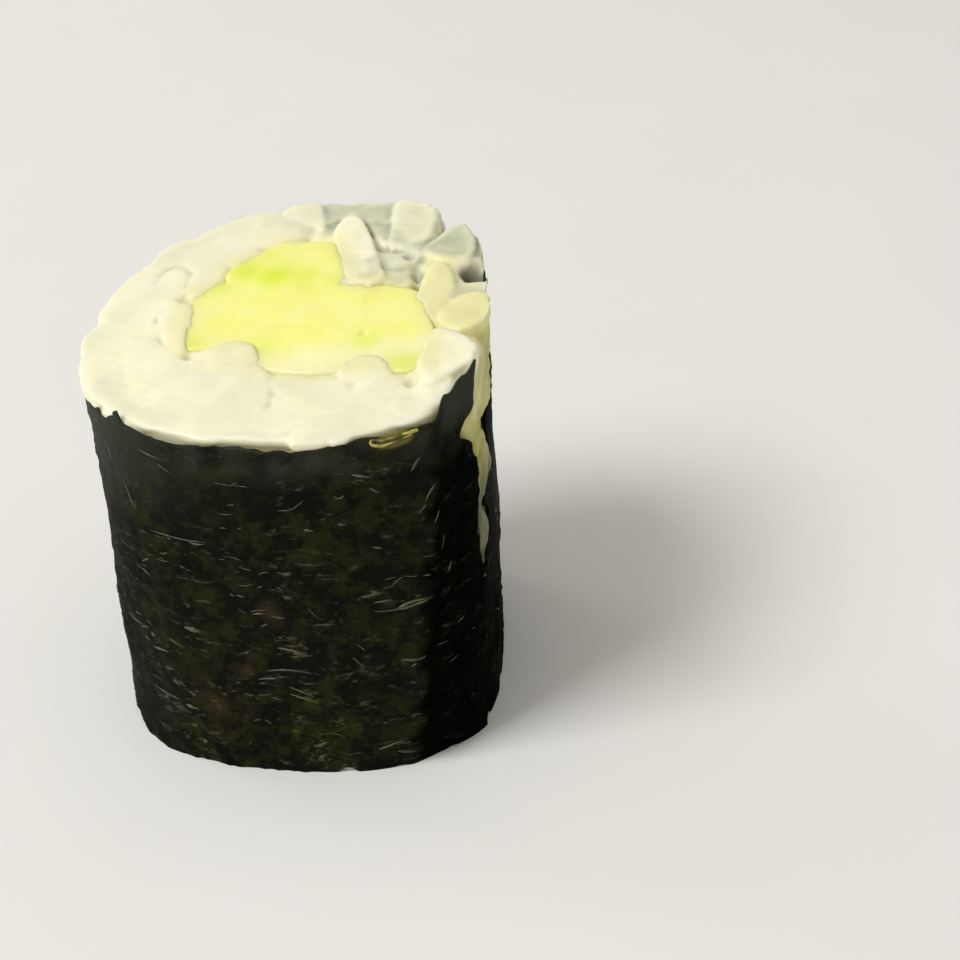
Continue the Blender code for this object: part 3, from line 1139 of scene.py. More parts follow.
@dataclass(frozen=True)
class Grain:
    """One grain of rice, in millimetres and degrees.

    Attributes:
        x: Its middle, to the right of the axis.
        y: Its middle, to the back of the axis.
        stands: Height of its middle above the plane of the cut.
        length: Along the grain.
        width: Across it.
        thick: Through it.
        heading: Way it points, anticlockwise from +X.
        tilt: How much its far end is raised.
        clear: From 0, cream, to 1, clear and greyish.
    """

    x: float
    y: float
    stands: float
    length: float = 6.0
    width: float = 2.8
    thick: float = 2.4
    heading: float = 0.0
    tilt: float = 0.0
    clear: float = 0.0

    def axes(self) -> Matrix:
        """Rotation that lays the grain's own X, Y and Z the way it lies."""
        turned = Matrix.Rotation(math.radians(self.heading), 3, "Z")
        return turned @ Matrix.Rotation(math.radians(-self.tilt), 3, "Y")


@dataclass
class GrainMaker:
    """Makes the mesh of a grain: a plump oval, blunt at one end, with flattened sides.

    Attributes:
        rings: Rings of points from tip to tip.
        sides: Points in each ring.
    """

    rings: int = 14
    sides: int = 14

    def faces(self) -> list[list[int]]:
        """Faces of one grain: the quads between its rings and a fan at each tip."""
        last = self.rings * self.sides
        found = tube_faces(self.rings, self.sides)
        for i in range(self.sides):
            j = (i + 1) % self.sides
            found.append([last, j, i])
            found.append([last + 1, last - self.sides + i, last - self.sides + j])
        return found

    def points(self, grain: Grain, seed: int) -> Array:
        """Points of one grain about its own middle, turned the way it lies, in metres.

        Args:
            grain: The grain.
            seed: Makes its dents its own.

        Returns:
            One row for each point, the two tips last.
        """
        polar = np.pi * (np.arange(self.rings) + 1) / (self.rings + 1)
        along = -np.cos(polar)
        girth = (1.0 - np.abs(along) ** 2.5) ** 0.55 * (1.0 - 0.10 * along)
        turn = math.tau * np.arange(self.sides) / self.sides
        across, through = (np.sign(wave) * np.abs(wave) ** 0.9 for wave in (np.cos(turn), np.sin(turn)))
        body = np.stack([
            np.repeat(along, self.sides), np.outer(girth, across).ravel(), np.outer(girth, through).ravel(),
        ], axis=1)
        body = np.concatenate([body, [[-1.0, 0, 0], [1.0, 0, 0]]])
        body[:, 2] += 0.12 * body[:, 0] ** 2
        half = np.array([grain.length, grain.width, grain.thick]) * MM / 2
        dents = 1.0 + 0.07 * waves(body + seed * 3.1, 0.9, seed % 7)
        return (body * half * dents[:, None]) @ np.array(grain.axes()).T


@dataclass(frozen=True)
class SlicedGrain:
    """One grain that shows singly in the upper cut.

    Attributes:
        stands: Height of its cut top above the plane of the cut, in mm.
        corners: Its outline seen from above, anticlockwise, in mm from the axis.
        clear: From 0, cream, to 1, clear and greyish.
        yellow: From 0, cream, to 1, yellowed by cucumber juice.
        lean: How far its top climbs for each mm to the right, and to the back, about its middle.
    """

    stands: float
    corners: tuple
    clear: float = 0.0
    yellow: float = 0.0
    lean: tuple[float, float] = (0.0, 0.0)


@dataclass
class SlicedGrains:
    """The grains that stand out of the upper cut, most of them at the back right, left whole by the knife.

    Attributes:
        shape: The roll.
    """

    shape: RollShape
    thick: float = 1.9 * MM
    edge: float = 0.12 * MM
    # Dents in the tops: height, wavelength, seed
    dents: tuple = ((0.11 * MM, 1.3 * MM, 51), (0.3 * 0.11 * MM, 0.5 * MM, 52))
    grains: tuple[SlicedGrain, ...] = (
        # The long grain beside the back stick
        SlicedGrain(0.62, (
            (3.3, 10.8), (2.4, 9.1), (2.8, 6.4), (3.4, 2.9), (6.2, 2.1), (5.6, 5.0), (5.1, 8.2), (4.2, 10.8),
        ), lean=(0.03, 0.0)),
        # Clear grains behind it
        SlicedGrain(
            0.1, ((6.5, 12.2), (4.3, 12.7), (5.0, 9.8), (5.9, 7.0), (6.5, 7.7), (6.6, 10.1)), clear=0.8,
        ),
        SlicedGrain(0.1, ((3.1, 12.7), (1.4, 12.5), (1.9, 9.3), (2.3, 9.4)), clear=0.8),
        SlicedGrain(
            0.42, ((-1.4, 12.5), (-0.7, 11.2), (1.0, 10.5), (1.9, 9.1), (1.6, 12.4), (1.2, 13.0)), clear=0.25,
        ),
        # The broad pale grain and the grey one, each side of the nick
        SlicedGrain(0.4, (
            (6.5, 12.3), (6.5, 9.0), (6.1, 6.8), (7.1, 6.6), (7.9, 5.9), (8.4, 5.5), (8.7, 6.8), (9.3, 7.7),
            (9.5, 9.3), (9.9, 10.3), (8.1, 11.8),
        ), clear=0.3, lean=(0.04, 0.03)),
        SlicedGrain(0.55, (
            (8.5, 6.2), (8.7, 5.1), (9.7, 4.5), (10.4, 3.9), (10.8, 2.9), (11.6, 4.4), (11.9, 5.6),
            (11.7, 7.0), (11.3, 8.1), (10.3, 7.8), (9.6, 7.0),
        ), clear=0.95, lean=(0.08, 0.1)),
        SlicedGrain(
            0.12, ((5.6, 5.6), (6.3, 2.4), (7.9, 2.2), (7.7, 4.0), (7.3, 5.2), (6.0, 6.6)), clear=0.6,
        ),
        # Yellowed grains at the right
        SlicedGrain(0.55, (
            (9.0, 3.9), (8.6, 2.8), (8.2, 1.1), (8.1, -0.6), (8.7, -2.7), (9.7, -0.9), (10.5, 0.6),
            (10.6, 2.4), (10.3, 3.7), (9.7, 4.2),
        ), clear=0.35, yellow=0.5, lean=(0.0, 0.04)),
        SlicedGrain(0.5, (
            (9.3, -1.6), (9.7, -3.0), (11.1, -3.8), (12.7, -2.1), (12.9, -0.3), (11.8, 0.6), (10.7, 0.2),
        ), clear=0.35, yellow=0.6),
        SlicedGrain(0.3, (
            (10.7, 2.1), (10.8, 0.4), (12.4, -0.1), (13.0, 0.8), (12.8, 1.8), (11.3, 2.2),
        ), clear=0.6, yellow=0.2),
        # A grain lying along the left stick
        SlicedGrain(0.47, (
            (-9.3, 2.8), (-8.7, -0.9), (-7.9, -2.9), (-6.9, -3.1), (-7.0, -0.7), (-7.3, 2.2), (-8.3, 3.3),
        )),
        # The white grain over the nori's edge at the right
        SlicedGrain(0.75, (
            (8.0, -5.2), (8.0, -7.3), (8.6, -8.7), (10.3, -8.1), (11.6, -6.8), (11.7, -5.5), (10.6, -4.0),
            (9.5, -3.2), (8.7, -3.7),
        )),
        # The broad grain over the left stick's front corner
        SlicedGrain(0.42, (
            (-6.4, -3.4), (-6.2, -5.9), (-4.4, -7.2), (-2.0, -7.4), (-2.0, -5.3), (-2.1, -3.8), (-2.8, -2.6),
            (-4.1, -2.4), (-5.3, -2.7),
        ), yellow=0.2, lean=(0.0, 0.12)),
        # Grains in front of the sticks
        SlicedGrain(0.42, (
            (2.9, -6.0), (3.2, -7.6), (4.6, -8.9), (6.3, -8.3), (6.5, -6.9), (6.0, -5.6), (4.4, -5.0),
        ), lean=(0.0, 0.1)),
        SlicedGrain(0.24, (
            (6.6, -8.6), (6.0, -10.0), (6.2, -11.3), (7.6, -11.5), (9.4, -10.2), (10.4, -8.6), (9.6, -7.6),
        ), lean=(0.0, 0.08)),
    )

    def blocks(self) -> list[tuple[Array, list[list[int]]]]:
        """Points and faces of each grain, as closed bodies."""
        return [
            CutBlock(
                np.array(grain.corners) * MM, self.top_of(grain, i), self.foot_of(grain), self.edge,
            ).build()
            for i, grain in enumerate(self.grains)
        ]

    def samples(self) -> list[tuple[Vector, float, float]]:
        """Spots over each grain's top with how clear and how yellow they are."""
        found = []
        for grain, (points, _) in zip(self.grains, self.blocks()):
            spots = points[points[:, 2] > points[:, 2].max() - 0.6 * MM][::7]
            found += [(Vector(spot), grain.clear, grain.yellow) for spot in spots]
        return found

    def top_of(self, grain: SlicedGrain, seed: int) -> Callable[[Array, Array], Array]:
        """Height of a grain's dented top over points."""
        middle_x, middle_y = np.mean(grain.corners, axis=0) * MM

        def top(x: Array, y: Array) -> Array:
            """Height over each point."""
            spots = np.column_stack([x, y, np.full(len(x), seed * MM)])
            slope = grain.lean[0] * (x - middle_x) + grain.lean[1] * (y - middle_y)
            return self.shape.cut_height(x, y) + grain.stands * MM + slope + rumpled(spots, self.dents)

        return top

    def foot_of(self, grain: SlicedGrain) -> Callable[[Array, Array], Array]:
        """Height of a grain's foot under points."""
        return lambda x, y: self.shape.cut_height(x, y) + grain.stands * MM - self.thick


@dataclass
class RiceBody:
    """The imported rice: welded grains at each cut and along the gap, over a plain core.

    Attributes:
        shape: The roll.
        sheet: The nori, which the rice stays inside.
        sticks: The outlines that the rice packs round.
    """

    shape: RollShape
    sheet: NoriSheet
    sticks: StickOutlines
    grain: tuple[float, float, float] = (5.9, 2.75, 2.4)  # a mean grain's length, width and thickness in mm
    spacing: float = 2.25 * MM  # from grain to grain of a layer
    layer_drop: float = 1.3  # from one layer down to the next, in mm
    jitter: float = 0.22  # how far a grain strays from the net, as a share of the spacing
    voxel: float = 0.17 * MM
    hidden_voxel: float = 0.2 * MM  # under the roll, where it rests
    core_voxel: float = 0.6 * MM
    skin_depth: float = 3.2 * MM  # how deep the welded grains reach below a cut
    overlap: float = 1.0 * MM  # how far the core reaches up among them
    level: float = 0.42 * MM  # the smeared rice stands this far above the plane of the cut
    clear_of_nori: float = 1.15 * MM  # no grain's middle lies nearer to the nori's outside than this
    clear_of_sticks: float = 0.75 * MM  # nor nearer to a stick than this
    along_nori: float = 2.6 * MM  # grains nearer to it than this lie along it
    gap_heights: tuple[float, float, float] = (9.0, 27.5, 1.7)  # of grains in the gap: from, to, step in mm
    gap_turn: tuple[float, float, float] = (-44.0, 12.0, 9.5)  # their directions: from, to, step
    rim_turn: tuple[float, float, float] = (2.0, 222.0, 8.5)  # and those of the grains over the nori's edge
    seed: int = 5
    maker: GrainMaker = field(default_factory=GrainMaker)
    slices: SlicedGrains = field(init=False)
    # How raggedly the knife dragged rice over the sticks, in mm: how far, wavelength, seed
    dragged: tuple = ((0.5, 2.3 * MM, 35), (0.25, 0.9 * MM, 36))
    # Bumps where the rice swells over the nori's edge, and in mm where it shows in the gap
    bumps: tuple = ((0.14 * MM, 1.4 * MM, 33), (0.14 * MM, 2.6 * MM, 34))
    gap_bumps: tuple = ((0.3, 2.1 * MM, 39), (0.15, 0.9 * MM, 40))
    # Hollows left in the upper cut, in mm: x, y, how wide, how deep. The first is the dark one: its wall is
    # painted near black as shade.
    hollows: tuple = (
        (11.8, 3.2, 0.65, 2.6), (10.0, 8.4, 0.4, 1.6), (10.6, 8.9, 0.5, 1.7), (10.2, 9.6, 0.5, 1.7),
        (-6.8, -3.3, 0.3, 0.4), (7.6, 5.5, 0.3, 0.7), (8.2, 3.8, 0.4, 0.9), (8.1, 2.7, 0.28, 0.6),
        (9.0, -2.6, 0.35, 0.6), (7.6, -8.2, 0.4, 0.5),
    )

    def __post_init__(self) -> None:
        """Makes the grains that show singly."""
        self.slices = SlicedGrains(self.shape)

    def openness(self, x: Array, y: Array) -> Array:
        """From 0 where the knife smeared the grains flat to 1 where they stand apart, at the back right."""
        away = np.abs(turn_of(np.arctan2(y, x) - math.radians(34.0)))
        return smooth_step(66.0, 42.0, away) * smooth_step(5.0 * MM, 8.0 * MM, np.hypot(x, y))

    def smeared(self, x: Array, y: Array) -> Array:
        """How far the knife dragged rice over the sticks' edges: raggedly, and furthest at the front."""
        ragged = 0.25 + rumpled(level_points(x, y), self.dragged)
        front = smooth_step(-3.4 * MM, -5.0 * MM, y) * smooth_step(8.0 * MM, 5.0 * MM, x)
        return (ragged + 0.6 * front) * MM

    def slice_of_core(self, low: float, below_cut: float, name: str) -> bpy.types.Object:
        """Copies the frame's rice solid between two heights.

        Args:
            low: The slice's lowest height.
            below_cut: How far its top stays below the upper cut.
            name: The new piece's name.

        Returns:
            The slice, with the sticks' channels through it.
        """
        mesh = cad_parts["rice"].data.copy()
        mesh.name = name
        piece = bpy.data.objects.new(name, mesh)
        bpy.context.scene.collection.objects.link(piece)
        points = points_of(piece, self.shape)
        top = self.shape.cut_height(points[:, 0], points[:, 1]) - below_cut
        points[:, 2] = np.maximum(np.minimum(points[:, 2], top), np.minimum(low, top - MM))
        move_points(piece, points, self.shape)
        return piece

    def scattered(self, cut: Cut) -> list[Grain]:
        """Lays grains over a cut on a jittered net, in two layers, clear of the sticks."""
        rng = np.random.default_rng(self.seed + (cut is Cut.LOWER))
        grains = []
        length, width, thick = self.grain
        reach = int(self.shape.radius / self.spacing) + 2
        for layer in (0, 1):
            for i in range(-reach, reach + 1):
                for j in range(-reach, reach + 1):
                    strays = rng.uniform(-self.jitter, self.jitter), rng.uniform(-self.jitter, self.jitter)
                    x = (i + 0.5 * (j % 2) + 0.25 * layer + strays[0]) * self.spacing
                    y = (j + 0.5 * layer + strays[1]) * self.spacing * 0.87
                    heading, tilt, size = rng.uniform(0, 180), rng.normal(0, 12), rng.normal(1, 0.07)
                    sink, clear = rng.random(), rng.random()
                    angle = math.atan2(y, x)
                    edge = float(self.shape.outside(angle)) - math.hypot(x, y)
                    stick = -float(self.sticks.depth(np.array([[x, y]]))[0])
                    if edge < self.clear_of_nori or stick < self.clear_of_sticks:
                        continue
                    if edge < self.along_nori:
                        heading = math.degrees(angle) + 90.0 + 25.0 * (sink - 0.5)
                    apart = float(self.openness(np.array(x), np.array(y)))
                    stands = -0.48 - 0.6 * apart + 0.5 * apart * (sink - 0.25) + 0.3 * (sink - 0.5)
                    stands = stands - self.layer_drop * layer
                    grains.append(Grain(
                        x / MM, y / MM, stands, length * size, width * size, thick * size, heading, tilt,
                        (0.35 + 0.65 * clear) * apart + 0.16 * clear,
                    ))
        return grains

    def along_gap(self) -> list[Grain]:
        """Lays grains up the gap between the sheet's ends, flat against where the nori would be."""
        rng = np.random.default_rng(self.seed + 9)
        grains = []
        for height in np.arange(*self.gap_heights):
            for degrees in np.arange(*self.gap_turn):
                angle = math.radians(degrees + rng.uniform(-3, 3))
                lies = self.shape.outside(angle) - 1.25 * MM
                x, y = lies * math.cos(angle), lies * math.sin(angle)
                stands = (height * MM + rng.uniform(-0.4, 0.4) * MM - self.shape.cut_height(x, y)) / MM
                grains.append(Grain(
                    x / MM, y / MM, stands, 5.4, 2.6, 2.3, math.degrees(angle) + 90, rng.normal(0, 28),
                    clear=0.2,
                ))
        return grains

    def along_rim(self) -> list[Grain]:
        """Lays grains along the nori's sunk edge, bulging out over it."""
        rng = np.random.default_rng(self.seed + 17)
        grains = []
        for degrees in np.arange(*self.rim_turn):
            angle = math.radians(degrees + rng.uniform(-3, 3))
            lies = self.shape.outside(angle) - rng.uniform(0.75, 1.25) * MM
            x, y = lies * math.cos(angle), lies * math.sin(angle)
            grains.append(Grain(
                x / MM, y / MM, rng.uniform(-1.2, -0.6), rng.uniform(3.2, 5.4), 2.7, 2.3,
                math.degrees(angle) + 90 + rng.normal(0, 28), rng.normal(0, 18), clear=0.3 * rng.random(),
            ))
        return grains

    def sliced(self, points: Array) -> Array:
        """Flattens grains where the knife went through them, a little proud of the plane of the cut."""
        x, y = points[:, 0], points[:, 1]
        outermost = smooth_step(9.0 * MM, 13.5 * MM, np.hypot(x, y))
        limit = self.level - 0.3 * MM * outermost + 0.07 * MM * waves(level_points(x, y), 4.0 * MM, 31)
        above = capped(self.shape.above_cut(points), limit, 0.05 * MM)
        return np.column_stack([x, y, above + self.shape.cut_height(x, y)])

    def joined(self, grains: list[Grain], place: Callable[[Grain], Vector]) -> tuple[Array, list[list[int]]]:
        """Points and faces of many grains, each a closed body with its middle where place puts it."""
        faces = self.maker.faces()
        return merged([
            (self.maker.points(grain, i) + np.array(place(grain)), faces) for i, grain in enumerate(grains)
        ])

    def on_cut(self, cut: Cut) -> Callable[[Grain], Vector]:
        """The rule that gives a grain's middle from where it lies on a cut."""
        def place(grain: Grain) -> Vector:
            """Middle of the grain from the roll's axis."""
            x, y = grain.x * MM, grain.y * MM
            if cut is Cut.UPPER:
                return Vector((x, y, self.shape.cut_height(x, y) + grain.stands * MM))
            return Vector((x, y, -grain.stands * MM))

        return place

    def swollen(self, angle: Array, height: Array, above: Array) -> Array:
        """How far the rice reaches out past the sheet's inner skin, over its edge and through its gap."""
        wall = round_axis(self.shape.radius, angle, height)
        bumps = rumpled(round_axis(self.shape.radius, angle, 0.0), self.bumps)
        bumps = bumps + 0.06 * MM * waves(wall, 0.6 * MM, 32)
        gap = 0.26 + rumpled(wall, self.gap_bumps)
        bumps = bumps + 0.36 * MM * about(angle, 192.0, 14.0)
        over = (self.sheet.thickness + 0.1 * MM + bumps) * self.shape.sunk_share(angle)
        over = over * smooth_step(-self.shape.sunk - 0.1 * MM, -self.shape.sunk + 0.3 * MM, above)
        front = about(angle, -94.0, 24.0) * smooth_step(-0.7 * MM, -0.2 * MM, above)
        rim = smooth_step(-0.3 * MM, 0.2 * MM, above)
        return over + (gap * self.sheet.uncovered(angle, height) + 0.2 * front + 0.08 * rim) * MM

    def trimmed(self, points: Array, cut: Cut) -> Array:
        """Flattens welded grains at the knife's plane, keeps them inside the nori and off the sticks' ends.

        Args:
            points: The weld's vertices from the axis.
            cut: Which cut they lie at.

        Returns:
            The vertices where the finished rice has them.
        """
        x, y = points[:, 0], points[:, 1]
        upper = cut is Cut.UPPER
        angle, radius = np.arctan2(y, x), np.hypot(x, y)
        if upper:
            above = self.shape.above_cut(points)
            ragged = 1.0 + 0.35 * waves(points, 0.9 * MM, 38)
            for hollow_x, hollow_y, wide, deep in self.hollows:
                far = np.hypot(x - hollow_x * MM, y - hollow_y * MM) * ragged
                above = above - deep * MM * bell(far, wide * MM) * smooth_step(-2.2 * MM, -0.5 * MM, above)
        else:
            above = capped(-points[:, 2], -0.02 * MM, 0.05 * MM)
        inset = self.sticks.depth(points) + 0.3 * MM
        smeared = self.smeared(x, y) if upper else 0.0
        under = smooth_step(0.0, 0.35 * MM, inset - smeared)
        above = above - 1.6 * MM * under * smooth_step(-3.0 * MM, -1.0 * MM, above)
        height = above + self.shape.cut_height(x, y) if upper else -above
        wall = self.sheet.inside_radius(angle, height) - 0.04 * MM
        if upper:
            over = self.swollen(angle, height, above)
            radius = radius + over * smooth_step(2.4 * MM, 0.2 * MM, wall - radius)
            wall = wall + over
        sunk = self.shape.sunk_share(angle) if upper else 0.0
        radius = capped(radius, wall, 0.08 * MM + 0.17 * MM * sunk)
        return round_axis(radius, angle, np.maximum(height, 0.0))

    def tints(
        self, piece: bpy.types.Object, grains: list[Grain], place: Callable[[Grain], Vector], cut: Cut,
    ) -> dict[str, Array]:
        """How clear, how yellow, how stained and how shaded each vertex is.

        Each grain is as clear as it was drawn. Cucumber juice yellows the rice beside the sticks, and the
        nori stains it olive along the gap; lower down the gap painted shade darkens it, and the olive grows
        there, partly stain and partly painted shade.

        Args:
            piece: The welded grains.
            grains: The grains that went into it.
            place: Where each of them lies.
            cut: Which cut they lie at.

        Returns:
            Shares from 0 to 1 by the name of each tint.
        """
        samples = []
        for grain in grains:
            reach = Vector(grain.axes().col[0]) * grain.length * MM
            shares = (-0.35, -0.12, 0.12, 0.35)
            samples += [(place(grain) + reach * share, grain.clear, 0.0) for share in shares]
        if cut is Cut.UPPER:
            samples += self.slices.samples()
        tree = kdtree.KDTree(len(samples))
        for i, (spot, _, _) in enumerate(samples):
            tree.insert(spot, i)
        tree.balance()
        points = points_of(piece, self.shape)
        nearest = [tree.find(point)[1] for point in points.tolist()]
        clear = relaxed(piece, np.array([samples[i][1] for i in nearest]), 3)
        yellow = relaxed(piece, np.array([samples[i][2] for i in nearest]), 4)
        # Painted light: raised edges are painted paler as highlights, and the hollows between grains greyer
        # as shade, so they look deeper where the rice is thin.
        proud = (points[:, 2] - relaxed(piece, points[:, 2], 12)) / (0.05 * MM)
        proud = proud if cut is Cut.UPPER else -proud
        clear = 0.9 * clear * (1.0 - 0.45 * np.clip(proud, 0, 1)) + 0.3 * np.clip(-proud, 0, 1)
        clear = np.clip(clear, 0, 1)
        if cut is Cut.LOWER:
            return {"clear": clear}
        angle, radius = np.arctan2(points[:, 1], points[:, 0]), np.hypot(points[:, 0], points[:, 1])
        above = self.shape.above_cut(points)
        turn = turn_of(angle)
        side = smooth_step(-52.0, -40.0, turn) * smooth_step(20.0, 6.0, turn)
        side = side * smooth_step(-0.1 * MM, -0.9 * MM, above)
        side = side * smooth_step(2.2 * MM, 0.9 * MM, self.shape.outside(angle) - radius)
        uneven = 0.5 * waves(points, 1.8 * MM, 46)
        near = smooth_step(2.2 * MM, 0.0, -self.sticks.depth(points))
        # Painted shade: the wall of the first hollow is painted near black.
        hole_x, hole_y, wide, _ = self.hollows[0]
        deep = bell(np.hypot(points[:, 0] - hole_x * MM, points[:, 1] - hole_y * MM), 1.6 * wide * MM)
        deep = deep * smooth_step(0.2 * MM, -0.25 * MM, above)
        return {
            "clear": clear,
            "yellow": np.maximum(yellow, 0.5 * near) + 0.6 * side,
            # Along the gap, lower down: more olive, partly stain and partly painted shade, and painted shade
            # itself.
            "stain": side * (0.7 + 0.3 * smooth_step(24.5 * MM, 20.0 * MM, points[:, 2]) + uneven),
            "shade": np.maximum(side * smooth_step(23.0 * MM, 17.0 * MM, points[:, 2]) * 0.8, deep),
        }

    def bed(self, cut: Cut) -> tuple[Array, list[list[int]]]:
        """Points and faces of the pressed rice that fills the space between a cut's grains."""
        low = self.shape.height - self.skin_depth if cut is Cut.UPPER else 0.0
        piece = self.slice_of_core(low, 0.0, "bed")
        points = points_of(piece, self.shape)
        faces = [list(polygon.vertices) for polygon in piece.data.polygons]
        bpy.data.objects.remove(piece)
        x, y, height = points.T
        if cut is Cut.LOWER:
            return np.column_stack([x, y, np.clip(height, 0.3 * MM, self.skin_depth)]), faces
        top = self.shape.cut_height(x, y)
        uneven = 0.22 * waves(level_points(x, y), 5.0 * MM, 37)
        raised = (0.12 + uneven - 0.5 * self.openness(x, y)) * MM
        height = np.where(height > top - MM, top + raised, np.maximum(height, top - self.skin_depth))
        return np.column_stack([x, y, height]), faces

    def build_cut(self, cut: Cut, finish: bpy.types.Material) -> None:
        """Makes the welded grains of one cut."""
        grains = self.scattered(cut)
        place = self.on_cut(cut)
        if cut is Cut.UPPER:
            grains += self.along_gap() + self.along_rim()
        points, faces = self.joined(grains, place)
        bodies = [(points, faces)]
        if cut is Cut.UPPER:
            bodies = [(self.sliced(points), faces), *self.slices.blocks()]
        piece = new_piece(f"rice_grains_{cut.value}", *merged([*bodies, self.bed(cut)]), self.shape)
        weld(piece, self.voxel if cut is Cut.UPPER else self.hidden_voxel)
        move_points(piece, self.trimmed(points_of(piece, self.shape), cut), self.shape)
        for name, values in self.tints(piece, grains, place, cut).items():
            paint(piece, name, values)
        hand_in(piece, finish, "rice", "rice")

    def build_core(self, finish: bpy.types.Material) -> None:
        """Makes the plain body under the welded grains."""
        depth = self.skin_depth - self.overlap
        piece = self.slice_of_core(depth, depth, "rice_core")
        weld(piece, self.core_voxel)
        hand_in(piece, finish, "rice")

    def build(self, finish: bpy.types.Material) -> None:
        """Makes all of the rice."""
        self.build_core(finish)
        for cut in Cut:
            self.build_cut(cut, finish)


# ---------------------------------------------------------------- cucumber


@dataclass
class CucumberSticks:
    """The cucumber sticks, each a knife-cut strip that runs from cut to cut.

    Attributes:
        shape: The roll.
        outlines: The sticks' outlines.
    """

    shape: RollShape
    outlines: StickOutlines
    swell: float = 0.31 * MM  # each side stands this far outside the frame's solid, so that the sticks touch
    voxel: float = 0.16 * MM
    edge: float = 0.16 * MM
    around: int = 132
    # How the knife left the ends: height, wavelength, seed
    uneven: tuple = ((0.08 * MM, 3.0 * MM, 43), (0.03 * MM, 0.9 * MM, 44))
    # How far each end stands above the plane of the cut, in mm
    stands: dict[str, float] = field(default_factory=lambda: {
        "cucumber_back": 0.5, "cucumber_left": 0.42, "cucumber_right": 0.38, "cucumber_front": 0.34,
    })
    # Green flesh, near the rind or deep between sticks: x, y and size in mm, how green
    green_spots: tuple = (
        (-3.3, 5.4, 1.5, 0.85), (-1.5, 4.5, 1.3, 0.95), (0.6, 4.0, 1.1, 0.6), (2.4, 3.5, 0.9, 0.45),
        (-5.0, 4.2, 1.1, 0.5), (-1.9, 6.6, 0.9, 0.5), (4.8, -3.6, 1.0, 0.6), (-6.6, -2.0, 0.9, 0.4),
        (-2.4, -3.4, 1.0, 0.5), (7.4, -6.4, 1.3, 0.7),
    )
    # A shallow mark that the knife's heel left: both ends in mm, half its width and its depth
    score: tuple = ((-2.3, -0.6), (1.6, -1.6), 0.16, 0.11)

    def green(self, points: Array) -> Array:
        """How green the flesh is at each point."""
        ragged = 1.0 + 0.5 * waves(points * (1.0, 1.0, 0.3), 1.6 * MM, 41)
        found = np.zeros(len(points))
        for x, y, wide, strength in self.green_spots:
            far = np.hypot(points[:, 0] - x * MM, points[:, 1] - y * MM) / (wide * MM)
            found = np.maximum(found, strength * bell(far * ragged, 1.0))
        return found

    def scored(self, x: Array, y: Array) -> Array:
        """Depth of the knife mark at each point."""
        (start_x, start_y), (end_x, end_y), wide, deep = self.score
        along = np.array([end_x - start_x, end_y - start_y]) * MM
        rel_x, rel_y = x - start_x * MM, y - start_y * MM
        share = np.clip((rel_x * along[0] + rel_y * along[1]) / (along @ along), 0.0, 1.0)
        far = np.hypot(rel_x - share * along[0], rel_y - share * along[1])
        return deep * MM * bell(far, wide * MM)

    def stick(self, name: str) -> tuple[Array, list[list[int]]]:
        """Points and faces of one stick, along its frame solid's outline and with an uneven cut."""
        ring = self.outlines.corners[name]
        along = np.roll(ring, -1, axis=0) - np.roll(ring, 1, axis=0)
        outward = unit(np.column_stack([along[:, 1], -along[:, 0]]))

        def top(x: Array, y: Array) -> Array:
            """Height of the cut end over points."""
            uneven = rumpled(level_points(x, y), self.uneven)
            return self.shape.cut_height(x, y) + self.stands[name] * MM + uneven - self.scored(x, y)

        swollen = ring + self.swell * outward
        block = CutBlock(swollen, top, lambda x, y: 0.0 * x, self.edge, self.around)
        points, faces = block.build()
        sideways = 0.06 * MM * waves(points * (1.0, 1.0, 0.25), 2.5 * MM, 45)
        points[:, :2] += unit(points[:, :2] - ring.mean(axis=0)) * sideways[:, None]
        return points, faces

    def build(self, finish: bpy.types.Material) -> None:
        """Makes the sticks, pressed against each other so that only faint seams show where they touch."""
        sticks = merged([self.stick(name) for name in self.outlines.corners])
        piece = new_piece("cucumber_flesh", *sticks, self.shape)
        weld(piece, self.voxel)
        points = points_of(piece, self.shape)
        ragged_y = points[:, 1] + 0.8 * MM * waves(points, 2.5 * MM, 47)
        paint(piece, "rind", self.green(points))
        # Paler towards the front.
        paint(piece, "paler_front", 0.8 * smooth_step(-2.6 * MM, -5.0 * MM, ragged_y))
        hand_in(piece, finish, "cucumber", *self.outlines.corners)


# ---------------------------------------------------------------- studio


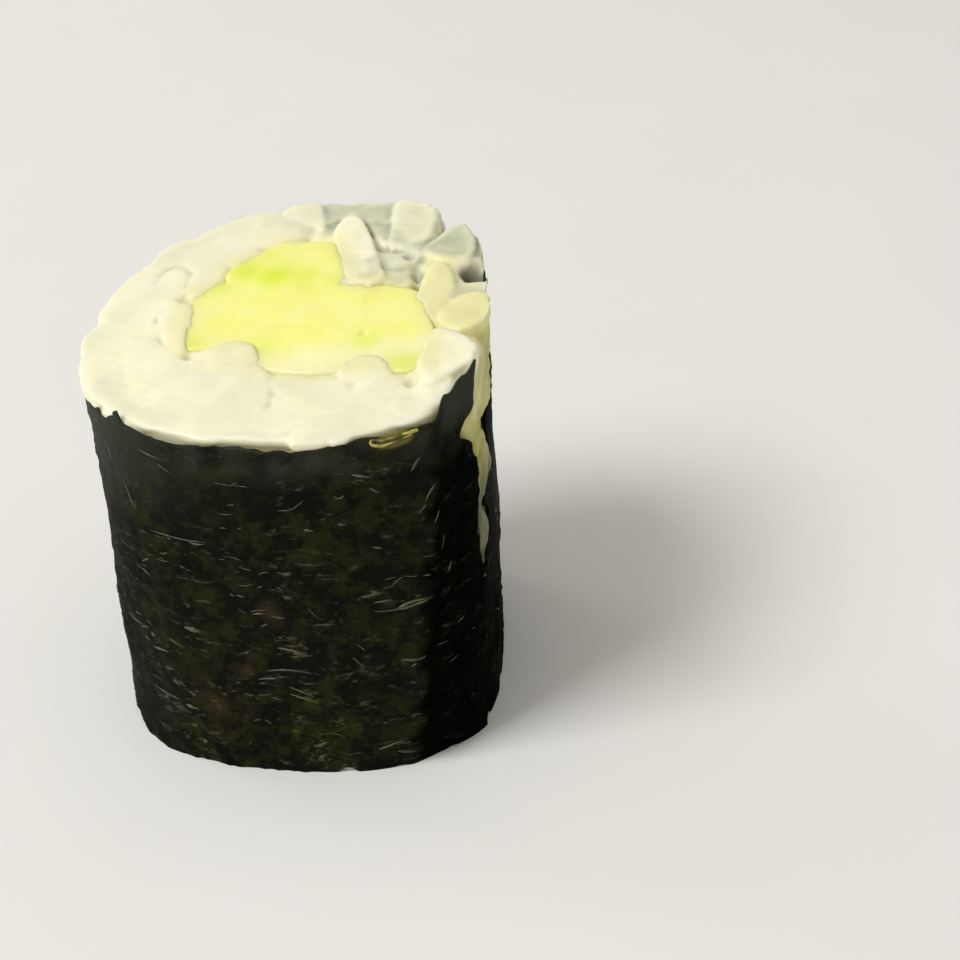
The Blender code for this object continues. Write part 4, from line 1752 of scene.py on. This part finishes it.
@dataclass
class Studio:
    """A pale floor, soft light and the camera.

    Attributes:
        shape: The roll, from whose axis the places are given.
    """

    shape: RollShape
    eye: tuple[float, float, float] = (11.59 * MM, -125.67 * MM, 92.87 * MM)
    pitch: float = 31.97  # degrees that the camera looks down
    roll: float = -3.13  # degrees that it leans
    lens: float = 80.5
    floor_radius: float = 4.0
    floor_sides: int = 96
    room: str = "#fffdf6"  # slightly warm
    room_light: float = 0.52
    # Soft lights: name, place, size of one side, power
    lights: tuple = (
        ("key", (-0.42, -0.22, 0.62), 0.30, 3.9),
        ("rim", (-0.55, 0.35, 0.30), 0.20, 0.45),
    )

    def build_floor(self, finish: bpy.types.Material) -> None:
        """Lays the floor at the height that the roll stands on."""
        turn = math.tau * np.arange(self.floor_sides) / self.floor_sides
        edge = np.stack([np.cos(turn), np.sin(turn), 0 * turn], axis=1) * self.floor_radius
        floor = new_piece("floor", edge, [list(range(self.floor_sides))], self.shape)
        floor.data.materials.append(finish)

    def build_camera(self) -> None:
        """Places the camera."""
        pitch, roll = math.radians(self.pitch), math.radians(self.roll)
        forward = Vector((0.0, math.cos(pitch), -math.sin(pitch)))
        up = Vector((0.0, math.sin(pitch), math.cos(pitch)))
        right = Vector((1.0, 0.0, 0.0))
        leaned_right = right * math.cos(roll) + up * math.sin(roll)
        leaned_up = up * math.cos(roll) - right * math.sin(roll)
        data = bpy.data.cameras.new("camera")
        data.lens = self.lens
        data.sensor_width = 36.0
        data.clip_start = 5.0 * MM
        camera = bpy.data.objects.new("camera", data)
        turn = Matrix((leaned_right, leaned_up, -forward)).transposed().to_4x4()
        camera.matrix_world = Matrix.Translation(Vector(self.eye) - Vector(self.shape.centre())) @ turn
        bpy.context.scene.collection.objects.link(camera)
        bpy.context.scene.camera = camera

    def build_light(self, name: str, place: tuple[float, float, float], size: float, power: float) -> None:
        """Hangs a square soft light that looks at the roll."""
        data = bpy.data.lights.new(name, "AREA")
        data.size = size
        data.energy = power
        light = bpy.data.objects.new(name, data)
        light.location = place
        aim = Vector((0.0, 0.0, self.shape.height / 2)) - Vector(place)
        light.rotation_euler = aim.to_track_quat("-Z", "Y").to_euler()
        bpy.context.scene.collection.objects.link(light)

    def build_world(self) -> None:
        """Fills the room with even light."""
        world = bpy.data.worlds.new("room")
        world.use_nodes = True
        shade = world.node_tree.nodes["Background"]
        shade.inputs["Color"].default_value = linear(self.room)
        shade.inputs["Strength"].default_value = self.room_light
        bpy.context.scene.world = world
        bpy.context.scene.view_settings.view_transform = "Standard"

    def build(self, finish: bpy.types.Material) -> None:
        """Makes the floor, the camera and the lights."""
        self.build_floor(finish)
        self.build_camera()
        for light in self.lights:
            self.build_light(*light)
        self.build_world()


def main() -> None:
    """Builds the pieces from the outside in, then the studio round them."""
    logging.basicConfig(level=logging.INFO, format="%(name)s %(message)s")
    shape = RollShape()
    sticks = StickOutlines.from_frame(shape)
    sheet = NoriSheet(shape)
    sheet.build(RoastedNori().build())
    creases = NoriCreases(sheet)
    creases.build(WetLaver().build())
    NoriFold(creases).build(WetLaver("laver_fold_thin", "#4c4720", "#b8b058", variation=0.7 * MM).build())
    rice_finish = CookedRice().build()
    RiceBody(shape, sheet, sticks).build(rice_finish)
    CucumberSticks(shape, sticks).build(CutCucumber().build())
    Studio(shape).build(PaperSweep().build())


if __name__ == "__main__":
    main()
